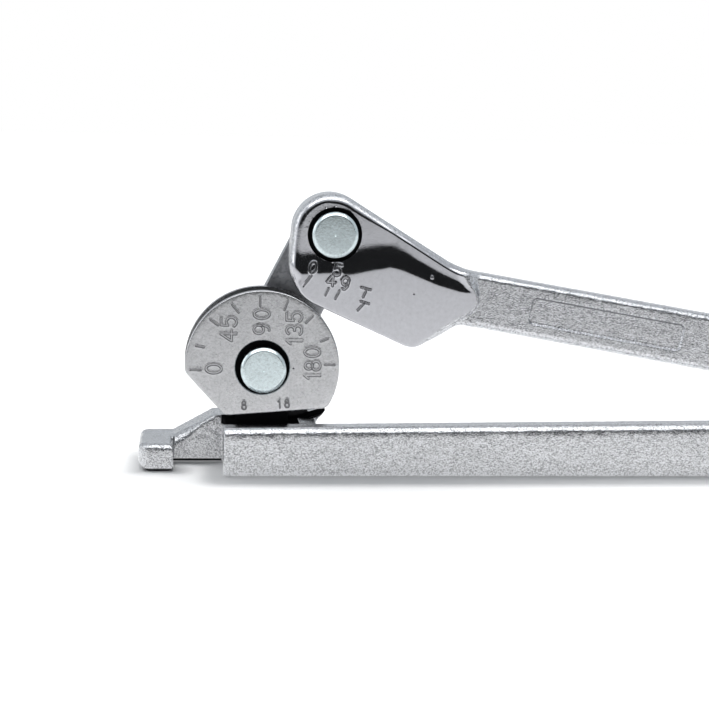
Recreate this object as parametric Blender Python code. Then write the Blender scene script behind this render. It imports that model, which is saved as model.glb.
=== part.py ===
"""Lever tube bender for 8 mm tube, bent to a centre-line radius of 18 mm.

A forged lower handle carries the form wheel and a fixed hook for the tube's end.
A link plate swings behind the wheel. A second forged handle hangs on the link's
far pin, and the underside of its head is the shoe that rolls the tube round the wheel.

Frame: X runs along the lower handle, away from the hook. Y runs along both pivots,
from the dial side to the link side, with the middle of the tube at zero. Z is up.
The origin lies under the wheel's pivot on the flat that the tool stands on.
The handles stand as when a bend has reached about 116 degrees.
"""

from math import atan2, ceil, cos, hypot, pi, radians, sin, tan

import bmesh
import bpy

MM = 0.001

# Tube and bend
TUBE_RADIUS = 4.0 * MM
BEND_RADIUS = 18.0 * MM
GROOVE_CLEARANCE = 0.15 * MM

# Gap left between pieces that touch, between pieces that slide past, and beyond a cut
SEAT_GAP = 0.3 * MM
SWING_GAP = 0.4 * MM
OVERRUN = 2.0 * MM

# Form wheel
FLANGE_RADIUS = 19.2 * MM
FLANGE_OFFSET = 0.65 * MM
FLANGE_OFFSET_ANGLE = radians(113.0)
FRONT_WALL = 1.45 * MM
REAR_WALL = 2.65 * MM
WHEEL_EDGE = 0.35 * MM
WHEEL_LIFT = 13.6 * MM
FOOT_GAP = 2.7 * MM
FOOT_TILT = radians(4.5)
RELIEF_REACH = 14.7 * MM
RELIEF_ANGLE = radians(223.0)
FLANGE_CORNER = 2.5 * MM

# Tongue that carries the wheel, and its dowels
TONGUE_WIDTH = 13.0 * MM
TONGUE_THICKNESS = 5.6 * MM
TONGUE_COVER = 3.2 * MM
DOWEL_RADIUS = 1.2 * MM
DOWEL_SPACING = 7.6 * MM
DOWEL_COVER = 1.0 * MM

# Lower handle
BAR_THICKNESS = 6.5 * MM
BAR_HEIGHT = 12.0 * MM
BAR_END_HEIGHT = 14.4 * MM
BAR_LENGTH = 199.8 * MM
BAR_INSET = 4.2 * MM
BAR_EDGE = 0.9 * MM
BAR_END_CORNER = 5.5 * MM
NECK_STEP = 0.4 * MM
WEB_CLEARANCE = 0.15 * MM
WEB_THICKNESS = 11.2 * MM
WEB_FLARE = 2.2 * MM
WEB_EDGE = 0.6 * MM
HOOK_CLEARANCE = 0.1 * MM
HOOK_WIDTH = 8.7 * MM
HOOK_HEIGHT = 6.8 * MM
HOOK_FRONT = 6.0 * MM
HOOK_CORNER = 1.6 * MM

# Link plate and its bushes
LINK_PITCH = 37.9 * MM
LINK_HALF_WIDTH = 8.1 * MM
LINK_THICKNESS = 4.0 * MM
LINK_EDGE = 0.4 * MM
LINK_ANGLE = radians(63.0)
BUSH_WALL = 1.1 * MM

# Pivot pins, washers and retaining rings
PIN_RADIUS = 4.0 * MM
PIN_HEAD_RADIUS = 5.7 * MM
PIN_HEAD_RISE = 1.4 * MM
PIN_HEAD_SINK = 2.3 * MM
PIN_CHAMFER = 0.4 * MM
PIN_TAIL = 1.2 * MM
RECESS_RADIUS = 6.75 * MM
THRUST_RADIUS = 7.4 * MM
THRUST_THICKNESS = 1.0 * MM
DISC_RADIUS = 6.4 * MM
DISC_THICKNESS = 0.5 * MM
DISC_RISE = 0.5 * MM
RING_RADIUS = 6.2 * MM
RING_THICKNESS = 0.8 * MM
RING_GROOVE_DEPTH = 0.8 * MM
RING_MOUTH = radians(70.0)

# Head of the upper handle, with the pivot pin at its local origin and the lip along local X
SHOE_CLEARANCE = 0.3 * MM
SHOE_LEAD = radians(2.7)
HEAD_TOP = 9.7 * MM
HEAD_TOP_TILT = radians(-7.35)
HEAD_NOSE = 10.35 * MM
HEAD_NOSE_TILT = radians(-70.7)
HEAD_CROWN_CORNER = 10.0 * MM
HEAD_NOSE_CORNER = 11.0 * MM
HEAD_LOBE = 34.6 * MM
HEAD_LOBE_TILT = radians(52.0)
HEAD_LOBE_CORNER = 6.0 * MM
HEAD_END_LOW = 3.7 * MM
HEAD_END_TOP_CORNER = 7.0 * MM
HEAD_END_LOW_CORNER = 5.0 * MM
HEAD_EDGE = 2.6 * MM
HEAD_BACK_EDGE = 1.6 * MM

# Shank of the upper handle
SHANK_TILT = radians(14.6)
SHANK_DROP = 9.8 * MM
SHANK_WIDTH = 13.8 * MM
SHANK_END_WIDTH = 15.0 * MM
SHANK_LENGTH = 175.0 * MM
SHANK_STEP = 1.8 * MM
SHANK_BACK_STEP = 2.6 * MM
SHANK_EDGE = 1.8 * MM
SHANK_SKIN = 0.2 * MM
SHANK_ROOT_COVER = 4.0 * MM
SHANK_TOP_CORNER = 22.0 * MM
SHANK_LOW_CORNER = 5.0 * MM
SHANK_END_CORNER = 6.0 * MM
PANEL_START = 52.5 * MM
PANEL_LENGTH = 40.0 * MM
PANEL_HEIGHT = 6.6 * MM
PANEL_CORNER = 1.2 * MM
PANEL_DEPTH = 0.7 * MM

# Fineness of round shapes
WHEEL_SIDES = 64
PIN_SIDES = 32
ARC_STEP = radians(10.0)
EDGE_STEPS = 3
GROOVE_STEPS = 10
SHARP_ANGLE = radians(28.0)
LEAST_CORNER_SHARE = 0.04

# Sizes that follow
GROOVE_RADIUS = TUBE_RADIUS + GROOVE_CLEARANCE
FRONT_Y = -(GROOVE_RADIUS + FRONT_WALL)
REAR_Y = GROOVE_RADIUS + REAR_WALL
PIVOT_Z = BAR_HEIGHT + WHEEL_LIFT
FOOT_DROP = WHEEL_LIFT - FOOT_GAP
FLANGE_CENTRE = (
    FLANGE_OFFSET * cos(FLANGE_OFFSET_ANGLE),
    FLANGE_OFFSET * sin(FLANGE_OFFSET_ANGLE),
)
BORE_RADIUS = PIN_RADIUS + SEAT_GAP
RECESS_Y = FRONT_Y + PIN_HEAD_SINK + SEAT_GAP
TONGUE_TOP = BORE_RADIUS + TONGUE_COVER
BAR_BACK_Y = FRONT_Y - SWING_GAP
BAR_FRONT_Y = BAR_BACK_Y - BAR_THICKNESS
BAR_START_X = -(BEND_RADIUS - TUBE_RADIUS - BAR_INSET)
NECK_END_X = BEND_RADIUS - TUBE_RADIUS - SEAT_GAP
NECK_TOP_Z = BAR_HEIGHT - NECK_STEP
WEB_FRONT_Y = GROOVE_RADIUS + WEB_CLEARANCE
WEB_BACK_Y = WEB_FRONT_Y + WEB_THICKNESS
HOOK_FACE_X = -(BEND_RADIUS + TUBE_RADIUS + HOOK_CLEARANCE)
LINK_FRONT_Y = REAR_Y + SEAT_GAP + THRUST_THICKNESS + SEAT_GAP
LINK_BACK_Y = LINK_FRONT_Y + LINK_THICKNESS
DISC_Y = LINK_BACK_Y + SEAT_GAP + THRUST_THICKNESS + SEAT_GAP
RING_Y = DISC_Y + DISC_THICKNESS + DISC_RISE + SEAT_GAP
PIN_END_Y = RING_Y + RING_THICKNESS + PIN_TAIL
BUSH_RADIUS = BORE_RADIUS + BUSH_WALL
LIP_RADIUS = FLANGE_RADIUS + FLANGE_OFFSET + SHOE_CLEARANCE
PIN_TO_WHEEL = LINK_PITCH * cos(SHOE_LEAD)
PIN_TO_LIP = PIN_TO_WHEEL - LIP_RADIUS
PIN_TO_TUBE = PIN_TO_WHEEL - BEND_RADIUS
LIP_ANGLE = LINK_ANGLE + SHOE_LEAD - pi / 2
LOBE_NORMAL = (sin(HEAD_LOBE_TILT), -cos(HEAD_LOBE_TILT))
HEAD_END = (HEAD_LOBE + HEAD_END_LOW * LOBE_NORMAL[1]) / LOBE_NORMAL[0]
SHANK_FRONT_Y = FRONT_Y + SHANK_STEP
SHANK_BACK_Y = REAR_Y - SHANK_BACK_STEP


def clear_scene():
    """Remove every object that the file opens with."""
    for thing in list(bpy.data.objects):
        bpy.data.objects.remove(thing)


def steel(name, colour, roughness, metallic=1.0):
    """Return a Principled material for one piece."""
    material = bpy.data.materials.new(name)
    material.use_nodes = True
    shader = material.node_tree.nodes["Principled BSDF"]
    shader.inputs["Base Color"].default_value = (*colour, 1.0)
    shader.inputs["Roughness"].default_value = roughness
    shader.inputs["Metallic"].default_value = metallic
    return material


def line(angle, distance):
    """Return the line whose outward normal has this angle, at this distance from zero."""
    return cos(angle), sin(angle), distance


def side(heading, distance):
    """Return the line that runs along a heading with its solid on the left."""
    return line(heading - pi / 2, distance)


def meet(first, second):
    """Return the point where two lines cross."""
    det = first[0] * second[1] - second[0] * first[1]
    x = (first[2] * second[1] - second[2] * first[1]) / det
    z = (first[0] * second[2] - second[0] * first[2]) / det
    return x, z


def turned_by(point, angle):
    """Return a point turned about zero."""
    x, z = point
    return x * cos(angle) - z * sin(angle), x * sin(angle) + z * cos(angle)


def clip(points, cut):
    """Keep the part of an outline that lies inside a line."""
    kept = []
    for here, after in zip(points, points[1:] + points[:1]):
        depth_here = here[0] * cut[0] + here[1] * cut[1] - cut[2]
        depth_after = after[0] * cut[0] + after[1] * cut[1] - cut[2]
        if depth_here <= 0.0:
            kept.append(here)
        if depth_here * depth_after < 0.0:
            share = depth_here / (depth_here - depth_after)
            x = here[0] + (after[0] - here[0]) * share
            z = here[1] + (after[1] - here[1]) * share
            kept.append((x, z))
    return kept


def circle(centre, radius, sides):
    """Return an outline of a circle, anticlockwise as seen from the dial side."""
    angles = [2 * pi * step / sides for step in range(sides)]
    return [(centre[0] + radius * cos(a), centre[1] + radius * sin(a)) for a in angles]


def outline(corners, inset=0.0):
    """Return the points of an outline of rounded corners, drawn in by an inset.

    Each corner is (x, z, radius), anticlockwise. A radius is limited by its walls.
    """
    count = len(corners)
    edges = []
    for index, corner in enumerate(corners):
        after = corners[(index + 1) % count]
        heading = atan2(after[1] - corner[1], after[0] - corner[0])
        run = hypot(after[0] - corner[0], after[1] - corner[1])
        wall = line(heading - pi / 2, 0.0)
        distance = corner[0] * wall[0] + corner[1] * wall[1] - inset
        edges.append((heading, run, (wall[0], wall[1], distance)))
    points = []
    for index, corner in enumerate(corners):
        heading_in, run_in, wall_in = edges[index - 1]
        heading_out, run_out, wall_out = edges[index]
        turn = (heading_out - heading_in + pi) % (2 * pi) - pi
        x, z = meet(wall_in, wall_out)
        if corner[2] == 0.0:
            points.append((x, z))
            continue
        slack = min(run_in, run_out) / 2
        radius = min(corner[2], slack / tan(abs(turn) / 2))
        radius = max(radius - inset, radius * LEAST_CORNER_SHARE) if turn > 0 else radius + inset
        reach = radius / cos(turn / 2)
        middle = (heading_in + heading_out + (2 * pi if abs(heading_out - heading_in) > pi else 0)) / 2
        toward = middle + pi / 2 if turn > 0 else middle - pi / 2
        centre = (x + reach * cos(toward), z + reach * sin(toward))
        steps = max(2, ceil(abs(turn) / ARC_STEP))
        start = heading_in - pi / 2 if turn > 0 else heading_in + pi / 2
        for step in range(steps + 1):
            angle = start + turn * step / steps
            points.append((centre[0] + radius * cos(angle), centre[1] + radius * sin(angle)))
    return points


def add_object(name, mesh, material, parent=None):
    """Put a mesh in the scene as a named piece."""
    piece = bpy.data.objects.new(name, mesh)
    bpy.context.scene.collection.objects.link(piece)
    piece.parent = parent
    if material is not None:
        mesh.materials.append(material)
    return piece


def loft(name, loops, closed=False):
    """Return a mesh that joins matching loops, capped at both ends or closed on itself."""
    work = bmesh.new()
    rows = [[work.verts.new(point) for point in loop] for loop in loops]
    pairs = list(zip(rows, rows[1:]))
    if closed:
        pairs.append((rows[-1], rows[0]))
    else:
        work.faces.new(rows[0])
        work.faces.new(list(reversed(rows[-1])))
    for near, far in pairs:
        for index in range(len(near)):
            after = (index + 1) % len(near)
            work.faces.new((near[after], near[index], far[index], far[after]))
    bmesh.ops.recalc_face_normals(work, faces=work.faces)
    mesh = bpy.data.meshes.new(name)
    work.to_mesh(mesh)
    work.free()
    mesh.shade_smooth()
    mesh.set_sharp_from_angle(angle=SHARP_ANGLE)
    return mesh


def slab(name, corners, y_front, y_back, edge_front=0.0, edge_back=0.0):
    """Return a mesh of an outline extruded along Y, with rounded front and back edges."""
    layers = []
    if edge_front > 0.0:
        for step in range(EDGE_STEPS):
            angle = pi / 2 * step / EDGE_STEPS
            layers.append((y_front + edge_front * (1 - cos(angle)), edge_front * (1 - sin(angle))))
    layers.append((y_front + edge_front, 0.0))
    layers.append((y_back - edge_back, 0.0))
    if edge_back > 0.0:
        for step in reversed(range(EDGE_STEPS)):
            angle = pi / 2 * step / EDGE_STEPS
            layers.append((y_back - edge_back * (1 - cos(angle)), edge_back * (1 - sin(angle))))
    loops = [[(x, y, z) for x, z in outline(corners, inset)] for y, inset in layers]
    return loft(name, loops)


def spindle(name, stations, sides=PIN_SIDES, centre=(0.0, 0.0)):
    """Return a round solid along Y from its stations of (y, radius)."""
    loops = [[(x, y, z) for x, z in circle(centre, radius, sides)] for y, radius in stations]
    return loft(name, loops)


def hoop(name, profile, sides=PIN_SIDES):
    """Return a ring about Y from its closed profile of (radius, y)."""
    loops = []
    for step in range(sides):
        angle = 2 * pi * step / sides
        loops.append([(radius * cos(angle), y, radius * sin(angle)) for radius, y in profile])
    return loft(name, loops, closed=True)


def square(points):
    """Return corners with no rounding."""
    return [(x, z, 0.0) for x, z in points]


def combine(target, tools, operation):
    """Apply exact booleans to a piece, one hidden guide after the other."""
    for name, mesh in tools:
        guide = add_object(name, mesh, None, target.parent)
        guide.location = target.location
        guide.hide_render = True
        guide.display_type = "WIRE"
        modifier = target.modifiers.new(name, "BOOLEAN")
        modifier.operation = operation
        modifier.solver = "EXACT"
        modifier.object = guide


def cut(target, tools):
    """Cut guides out of a piece."""
    combine(target, tools, "DIFFERENCE")


def fuse(target, tools):
    """Join guides to a piece."""
    combine(target, tools, "UNION")


def place_at_pivot(piece):
    """Set a piece that is drawn about the wheel's pivot at that pivot's height."""
    piece.location = (0.0, 0.0, PIVOT_Z)
    return piece


def foot_line():
    """Return the line of the wheel's foot."""
    return side(FOOT_TILT, FOOT_DROP * cos(FOOT_TILT))


def dowel_places():
    """Return where the dowels pass through the wheel and the tongue."""
    z = -(FOOT_DROP + TONGUE_TOP) / 2
    return {"wheel_dowel_left": (-DOWEL_SPACING / 2, z), "wheel_dowel_right": (DOWEL_SPACING / 2, z)}


def dowel_front_y():
    """Return how far forward the blind dowel bores reach."""
    return FRONT_Y + DOWEL_COVER


def make_form_wheel(material):
    """Make the grooved wheel, cut flat where it stands and where the straight tube passes."""
    rim = clip(circle(FLANGE_CENTRE, FLANGE_RADIUS, WHEEL_SIDES), foot_line())
    rim = clip(rim, line(RELIEF_ANGLE, RELIEF_REACH))
    rounded_rim = [(x, z, FLANGE_CORNER) for x, z in rim]
    wheel = add_object(
        "form_wheel",
        slab("form_wheel", rounded_rim, FRONT_Y, REAR_Y, WHEEL_EDGE, WHEEL_EDGE),
        material,
    )
    groove = []
    for step in range(GROOVE_STEPS + 1):
        angle = pi / 2 + pi * step / GROOVE_STEPS
        groove.append((BEND_RADIUS + GROOVE_RADIUS * cos(angle), GROOVE_RADIUS * sin(angle)))
    outside = FLANGE_RADIUS + FLANGE_OFFSET + OVERRUN
    groove.append((outside, -GROOVE_RADIUS))
    groove.append((outside, GROOVE_RADIUS))
    bottom = FOOT_DROP + OVERRUN + FLANGE_RADIUS
    half = TONGUE_WIDTH / 2 + SEAT_GAP
    depth = TONGUE_THICKNESS / 2 + SEAT_GAP
    pocket = square([(-half, -bottom), (half, -bottom), (half, -TONGUE_TOP), (-half, -TONGUE_TOP)])
    tools = [
        ("groove_cutter", hoop("groove_cutter", groove, WHEEL_SIDES)),
        ("wheel_bore_cutter", spindle(
            "wheel_bore_cutter", [(FRONT_Y - OVERRUN, BORE_RADIUS), (REAR_Y + OVERRUN, BORE_RADIUS)])),
        ("wheel_recess_cutter", spindle(
            "wheel_recess_cutter", [(FRONT_Y - OVERRUN, RECESS_RADIUS), (RECESS_Y, RECESS_RADIUS)],
            WHEEL_SIDES, FLANGE_CENTRE)),
        ("tongue_pocket_cutter", slab("tongue_pocket_cutter", pocket, -depth, depth)),
    ]
    for name, (x, z) in dowel_places().items():
        radius = DOWEL_RADIUS + SEAT_GAP
        bore = spindle(name + "_bore", [(dowel_front_y(), radius), (REAR_Y + OVERRUN, radius)],
                       PIN_SIDES, (x, z))
        tools.append((name + "_bore", bore))
    place_at_pivot(wheel)
    cut(wheel, tools)


def make_dowels(material):
    """Make the two dowels that lock the wheel on its tongue."""
    for name, (x, z) in dowel_places().items():
        start = dowel_front_y() + SEAT_GAP
        stations = [
            (start, DOWEL_RADIUS - PIN_CHAMFER),
            (start + PIN_CHAMFER, DOWEL_RADIUS),
            (REAR_Y - PIN_CHAMFER, DOWEL_RADIUS),
            (REAR_Y, DOWEL_RADIUS - PIN_CHAMFER),
        ]
        dowel = add_object(name, spindle(name, stations), material)
        dowel.location = (x, 0.0, PIVOT_Z + z)


def make_form_handle(material):
    """Make the lower forging: bar, neck, rear web, arm, hook and the wheel's tongue."""
    end_x = BAR_START_X + BAR_LENGTH
    bar = [
        (BAR_START_X, 0.0, 0.0),
        (end_x, 0.0, BAR_END_CORNER),
        (end_x, BAR_END_HEIGHT, BAR_END_CORNER),
        (BAR_START_X, BAR_HEIGHT, 0.0),
    ]
    handle = add_object(
        "form_handle", slab("form_handle", bar, BAR_FRONT_Y, BAR_BACK_Y, BAR_EDGE, BAR_EDGE), material
    )
    neck_start = BAR_START_X + NECK_STEP
    neck = square([
        (neck_start, 0.0),
        (NECK_END_X, 0.0),
        (NECK_END_X, NECK_TOP_Z),
        (neck_start, NECK_TOP_Z),
    ])
    neck_front = BAR_BACK_Y - BAR_THICKNESS / 2
    web_top = BAR_HEIGHT
    web_end = NECK_END_X - NECK_STEP
    web = [
        (HOOK_FACE_X - HOOK_WIDTH / 2, NECK_STEP, 0.0),
        (web_end, NECK_STEP, 0.0),
        (web_end, web_top - WEB_FLARE, 0.0),
        (web_end + WEB_FLARE, web_top + NECK_STEP, WEB_EDGE),
        (web_end - WEB_FLARE, web_top, WEB_EDGE),
        (BAR_START_X - WEB_FLARE, web_top + NECK_STEP, WEB_FLARE),
        (HOOK_FACE_X, HOOK_HEIGHT, WEB_EDGE),
        (HOOK_FACE_X - HOOK_WIDTH / 2, HOOK_HEIGHT - WEB_EDGE, 0.0),
    ]
    hook = [
        (HOOK_FACE_X - HOOK_WIDTH, 0.0, HOOK_CORNER),
        (HOOK_FACE_X, 0.0, 0.0),
        (HOOK_FACE_X, HOOK_HEIGHT, WEB_EDGE),
        (HOOK_FACE_X - HOOK_WIDTH, HOOK_HEIGHT, HOOK_CORNER),
    ]
    half = TONGUE_WIDTH / 2
    top = PIVOT_Z - TONGUE_TOP - SEAT_GAP
    tongue = square([(-half, NECK_TOP_Z / 2), (half, NECK_TOP_Z / 2), (half, top), (-half, top)])
    depth = TONGUE_THICKNESS / 2
    fuse(handle, [
        ("neck", slab("neck", neck, neck_front, WEB_FRONT_Y + WEB_THICKNESS / 2)),
        ("rear_web", slab("rear_web", web, WEB_FRONT_Y, WEB_BACK_Y, WEB_EDGE, WEB_EDGE)),
        ("hook", slab("hook", hook, -HOOK_FRONT, WEB_BACK_Y + NECK_STEP, WEB_EDGE, WEB_EDGE)),
        ("wheel_tongue", slab("wheel_tongue", tongue, -depth, depth)),
    ])
    bores = []
    for name, (x, z) in dowel_places().items():
        radius = DOWEL_RADIUS + SEAT_GAP
        bore = spindle(name + "_tongue_bore", [(-depth - OVERRUN, radius), (depth + OVERRUN, radius)],
                       PIN_SIDES, (x, PIVOT_Z + z))
        bores.append((name + "_tongue_bore", bore))
    cut(handle, bores)


def make_pin(name, material, parent):
    """Make one pivot pin with its domed-edge head in front and its ring groove behind."""
    neck = PIN_RADIUS - RING_GROOVE_DEPTH
    shoulder = FRONT_Y + PIN_HEAD_SINK
    stations = [
        (FRONT_Y - PIN_HEAD_RISE, PIN_HEAD_RADIUS - PIN_CHAMFER),
        (FRONT_Y - PIN_HEAD_RISE + PIN_CHAMFER, PIN_HEAD_RADIUS),
        (shoulder, PIN_HEAD_RADIUS),
        (shoulder, PIN_RADIUS),
        (RING_Y - SEAT_GAP, PIN_RADIUS),
        (RING_Y - SEAT_GAP, neck),
        (RING_Y + RING_THICKNESS + SEAT_GAP, neck),
        (RING_Y + RING_THICKNESS + SEAT_GAP, PIN_RADIUS),
        (PIN_END_Y - PIN_CHAMFER, PIN_RADIUS),
        (PIN_END_Y, PIN_RADIUS - PIN_CHAMFER),
    ]
    return add_object(name, spindle(name, stations), material, parent)


def make_thrust_washer(name, y, material, parent):
    """Make one flat washer."""
    profile = [
        (BORE_RADIUS, y),
        (THRUST_RADIUS, y),
        (THRUST_RADIUS, y + THRUST_THICKNESS),
        (BORE_RADIUS, y + THRUST_THICKNESS),
    ]
    return add_object(name, hoop(name, profile), material, parent)


def make_disc_spring(name, material, parent):
    """Make one coned spring washer, which keeps the pivot stiff."""
    profile = [
        (BORE_RADIUS, DISC_Y + DISC_RISE),
        (DISC_RADIUS, DISC_Y),
        (DISC_RADIUS, DISC_Y + DISC_THICKNESS),
        (BORE_RADIUS, DISC_Y + DISC_RISE + DISC_THICKNESS),
    ]
    return add_object(name, hoop(name, profile), material, parent)


def make_retaining_ring(name, material, parent):
    """Make one open ring that snaps into the pin's groove."""
    inner = PIN_RADIUS - RING_GROOVE_DEPTH + SEAT_GAP
    sweep = 2 * pi - RING_MOUTH
    points = []
    for step in range(PIN_SIDES + 1):
        angle = RING_MOUTH / 2 + sweep * step / PIN_SIDES
        points.append((RING_RADIUS * cos(angle), RING_RADIUS * sin(angle)))
    for step in range(PIN_SIDES + 1):
        angle = 2 * pi - RING_MOUTH / 2 - sweep * step / PIN_SIDES
        points.append((inner * cos(angle), inner * sin(angle)))
    mesh = slab(name, square(points), RING_Y, RING_Y + RING_THICKNESS)
    return add_object(name, mesh, material, parent)


def make_pivot_hardware(prefix, materials, parent, height=0.0):
    """Make the pin, washers, spring and ring of one pivot."""
    front_washer_y = REAR_Y + SEAT_GAP
    rear_washer_y = LINK_BACK_Y + SEAT_GAP
    pieces = [
        make_pin(prefix + "_pivot_pin", materials["pin"], parent),
        make_thrust_washer(prefix + "_front_washer", front_washer_y, materials["washer"], parent),
        make_thrust_washer(prefix + "_rear_washer", rear_washer_y, materials["washer"], parent),
        make_disc_spring(prefix + "_disc_spring", materials["spring"], parent),
        make_retaining_ring(prefix + "_retaining_ring", materials["spring"], parent),
    ]
    for piece in pieces:
        piece.location = (0.0, 0.0, height)


def make_link(materials, parent):
    """Make the link plate along local X, with a bush in each eye."""
    ends = {"link_bush_lower": 0.0, "link_bush_upper": LINK_PITCH}
    steps = PIN_SIDES // 2
    points = []
    for step in range(steps + 1):
        angle = -pi / 2 + pi * step / steps
        points.append((LINK_PITCH + LINK_HALF_WIDTH * cos(angle), LINK_HALF_WIDTH * sin(angle)))
    for step in range(steps + 1):
        angle = pi / 2 + pi * step / steps
        points.append((LINK_HALF_WIDTH * cos(angle), LINK_HALF_WIDTH * sin(angle)))
    mesh = slab("link_plate", square(points), LINK_FRONT_Y, LINK_BACK_Y, LINK_EDGE, LINK_EDGE)
    plate = add_object("link_plate", mesh, materials["link"], parent)
    eye = BUSH_RADIUS + SEAT_GAP
    for name, x in ends.items():
        stations = [(LINK_FRONT_Y - OVERRUN, eye), (LINK_BACK_Y + OVERRUN, eye)]
        cut(plate, [(name + "_eye", spindle(name + "_eye", stations, PIN_SIDES, (x, 0.0)))])
        profile = [
            (BORE_RADIUS, LINK_FRONT_Y),
            (BUSH_RADIUS, LINK_FRONT_Y),
            (BUSH_RADIUS, LINK_BACK_Y),
            (BORE_RADIUS, LINK_BACK_Y),
        ]
        bush = add_object(name, hoop(name, profile), materials["bush"], parent)
        bush.location = (x, 0.0, 0.0)


def head_lines():
    """Return the lines of the head's outline in the handle's own frame."""
    return {
        "top": side(pi + HEAD_TOP_TILT, HEAD_TOP),
        "nose": side(HEAD_NOSE_TILT, HEAD_NOSE),
        "lip": side(0.0, PIN_TO_LIP),
        "lobe": side(HEAD_LOBE_TILT, HEAD_LOBE),
        "end": side(pi / 2, HEAD_END),
    }


def shank_point(along, across):
    """Return a point of the shank from its place along and across the centre line."""
    return turned_by((along, across - SHANK_DROP), SHANK_TILT)


def shank_line(sign):
    """Return the shank's lower or upper edge line, which drifts out to the end."""
    half_start = sign * SHANK_WIDTH / 2
    half_end = sign * SHANK_END_WIDTH / 2
    start = shank_point(HEAD_END, half_start)
    end = shank_point(SHANK_LENGTH, half_end)
    heading = atan2(end[1] - start[1], end[0] - start[0])
    if sign > 0:
        heading += pi
    normal = line(heading - pi / 2, 0.0)
    return normal[0], normal[1], start[0] * normal[0] + start[1] * normal[1]


def drawn_in(edge, distance):
    """Return a line moved inward."""
    return edge[0], edge[1], edge[2] - distance


def make_slide_handle(material, parent):
    """Make the upper forging: a thick polished head, whose lip is the shoe, and its shank."""
    edges = head_lines()
    upper = shank_line(1)
    lower = shank_line(-1)
    inner_upper = drawn_in(upper, SHANK_SKIN)
    head = [
        (*meet(edges["nose"], edges["lip"]), HEAD_NOSE_CORNER),
        (*meet(edges["lip"], edges["lobe"]), HEAD_LOBE_CORNER),
        (*meet(edges["lobe"], edges["end"]), HEAD_END_LOW_CORNER),
        (*meet(edges["end"], inner_upper), HEAD_END_TOP_CORNER),
        (*meet(inner_upper, edges["top"]), SHANK_TOP_CORNER),
        (*meet(edges["top"], edges["nose"]), HEAD_CROWN_CORNER),
    ]
    handle = add_object(
        "slide_handle", slab("slide_handle", head, FRONT_Y, REAR_Y, HEAD_EDGE, HEAD_BACK_EDGE),
        material, parent,
    )
    inner_top = drawn_in(edges["top"], SHANK_SKIN)
    inner_lobe = drawn_in(edges["lobe"], SHANK_SKIN)
    inner_lip = drawn_in(edges["lip"], SHANK_ROOT_COVER)
    start = line(pi, -HEAD_END / 2)
    shank = [
        (*meet(start, inner_top), 0.0),
        (*meet(start, inner_lip), 0.0),
        (*meet(inner_lip, inner_lobe), 0.0),
        (*meet(inner_lobe, lower), SHANK_LOW_CORNER),
        (*shank_point(SHANK_LENGTH, -SHANK_END_WIDTH / 2), SHANK_END_CORNER),
        (*shank_point(SHANK_LENGTH, SHANK_END_WIDTH / 2), SHANK_END_CORNER),
        (*meet(upper, inner_top), SHANK_TOP_CORNER),
    ]
    fuse(handle, [
        ("shank", slab("shank", shank, SHANK_FRONT_Y, SHANK_BACK_Y, SHANK_EDGE, SHANK_EDGE)),
    ])
    reach = hypot(HEAD_LOBE, PIN_TO_LIP) + OVERRUN
    channel = []
    for step in range(PIN_SIDES):
        angle = 2 * pi * step / PIN_SIDES
        channel.append((GROOVE_RADIUS * cos(angle), GROOVE_RADIUS * sin(angle) - PIN_TO_TUBE))
    channel_loops = [[(x, y, z) for y, z in channel] for x in (-reach, reach)]
    half = PANEL_HEIGHT / 2
    panel_ends = [
        (PANEL_START, -half),
        (PANEL_START + PANEL_LENGTH, -half),
        (PANEL_START + PANEL_LENGTH, half),
        (PANEL_START, half),
    ]
    panel = [(*shank_point(along, across), PANEL_CORNER) for along, across in panel_ends]
    bore = [(FRONT_Y - OVERRUN, BORE_RADIUS), (REAR_Y + OVERRUN, BORE_RADIUS)]
    recess = [(FRONT_Y - OVERRUN, RECESS_RADIUS), (RECESS_Y, RECESS_RADIUS)]
    cut(handle, [
        ("shoe_channel_cutter", loft("shoe_channel_cutter", channel_loops)),
        ("head_bore_cutter", spindle("head_bore_cutter", bore)),
        ("head_recess_cutter", spindle("head_recess_cutter", recess, WHEEL_SIDES)),
        ("panel_cutter", slab(
            "panel_cutter", panel, SHANK_FRONT_Y - OVERRUN, SHANK_FRONT_Y + PANEL_DEPTH)),
    ])


def pivot_frame(name, location, angle, parent=None):
    """Return an empty on a pivot's axis, turned clockwise as seen from the dial side."""
    empty = bpy.data.objects.new(name, None)
    bpy.context.scene.collection.objects.link(empty)
    empty.parent = parent
    empty.location = location
    empty.rotation_euler = (0.0, angle, 0.0)
    return empty


def main():
    """Build the whole tool."""
    clear_scene()
    materials = {
        "forging": steel("plated_forging", (0.62, 0.62, 0.63), 0.42),
        "wheel": steel("machined_wheel", (0.66, 0.66, 0.67), 0.30),
        "slide": steel("polished_forging", (0.64, 0.63, 0.66), 0.24),
        "link": steel("link_steel", (0.48, 0.49, 0.51), 0.38),
        "pin": steel("plated_pin", (0.70, 0.74, 0.74), 0.30),
        "washer": steel("washer_steel", (0.55, 0.56, 0.58), 0.36),
        "bush": steel("bush_bronze", (0.60, 0.42, 0.22), 0.36),
        "spring": steel("spring_steel", (0.22, 0.22, 0.24), 0.40),
    }
    make_form_handle(materials["forging"])
    make_form_wheel(materials["wheel"])
    make_dowels(materials["pin"])
    make_pivot_hardware("form", materials, None, PIVOT_Z)
    link_frame = pivot_frame("link_frame", (0.0, 0.0, PIVOT_Z), -LINK_ANGLE)
    make_link(materials, link_frame)
    slide_frame = pivot_frame("slide_frame", (LINK_PITCH, 0.0, 0.0), LINK_ANGLE - LIP_ANGLE, link_frame)
    make_pivot_hardware("slide", materials, slide_frame)
    make_slide_handle(materials["slide"], slide_frame)


main()
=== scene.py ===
"""Looks for the lever tube bender: forged, machined and polished plated steel on a pale floor."""

from math import atan2, ceil, cos, hypot, pi, radians, sin, tan

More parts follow.
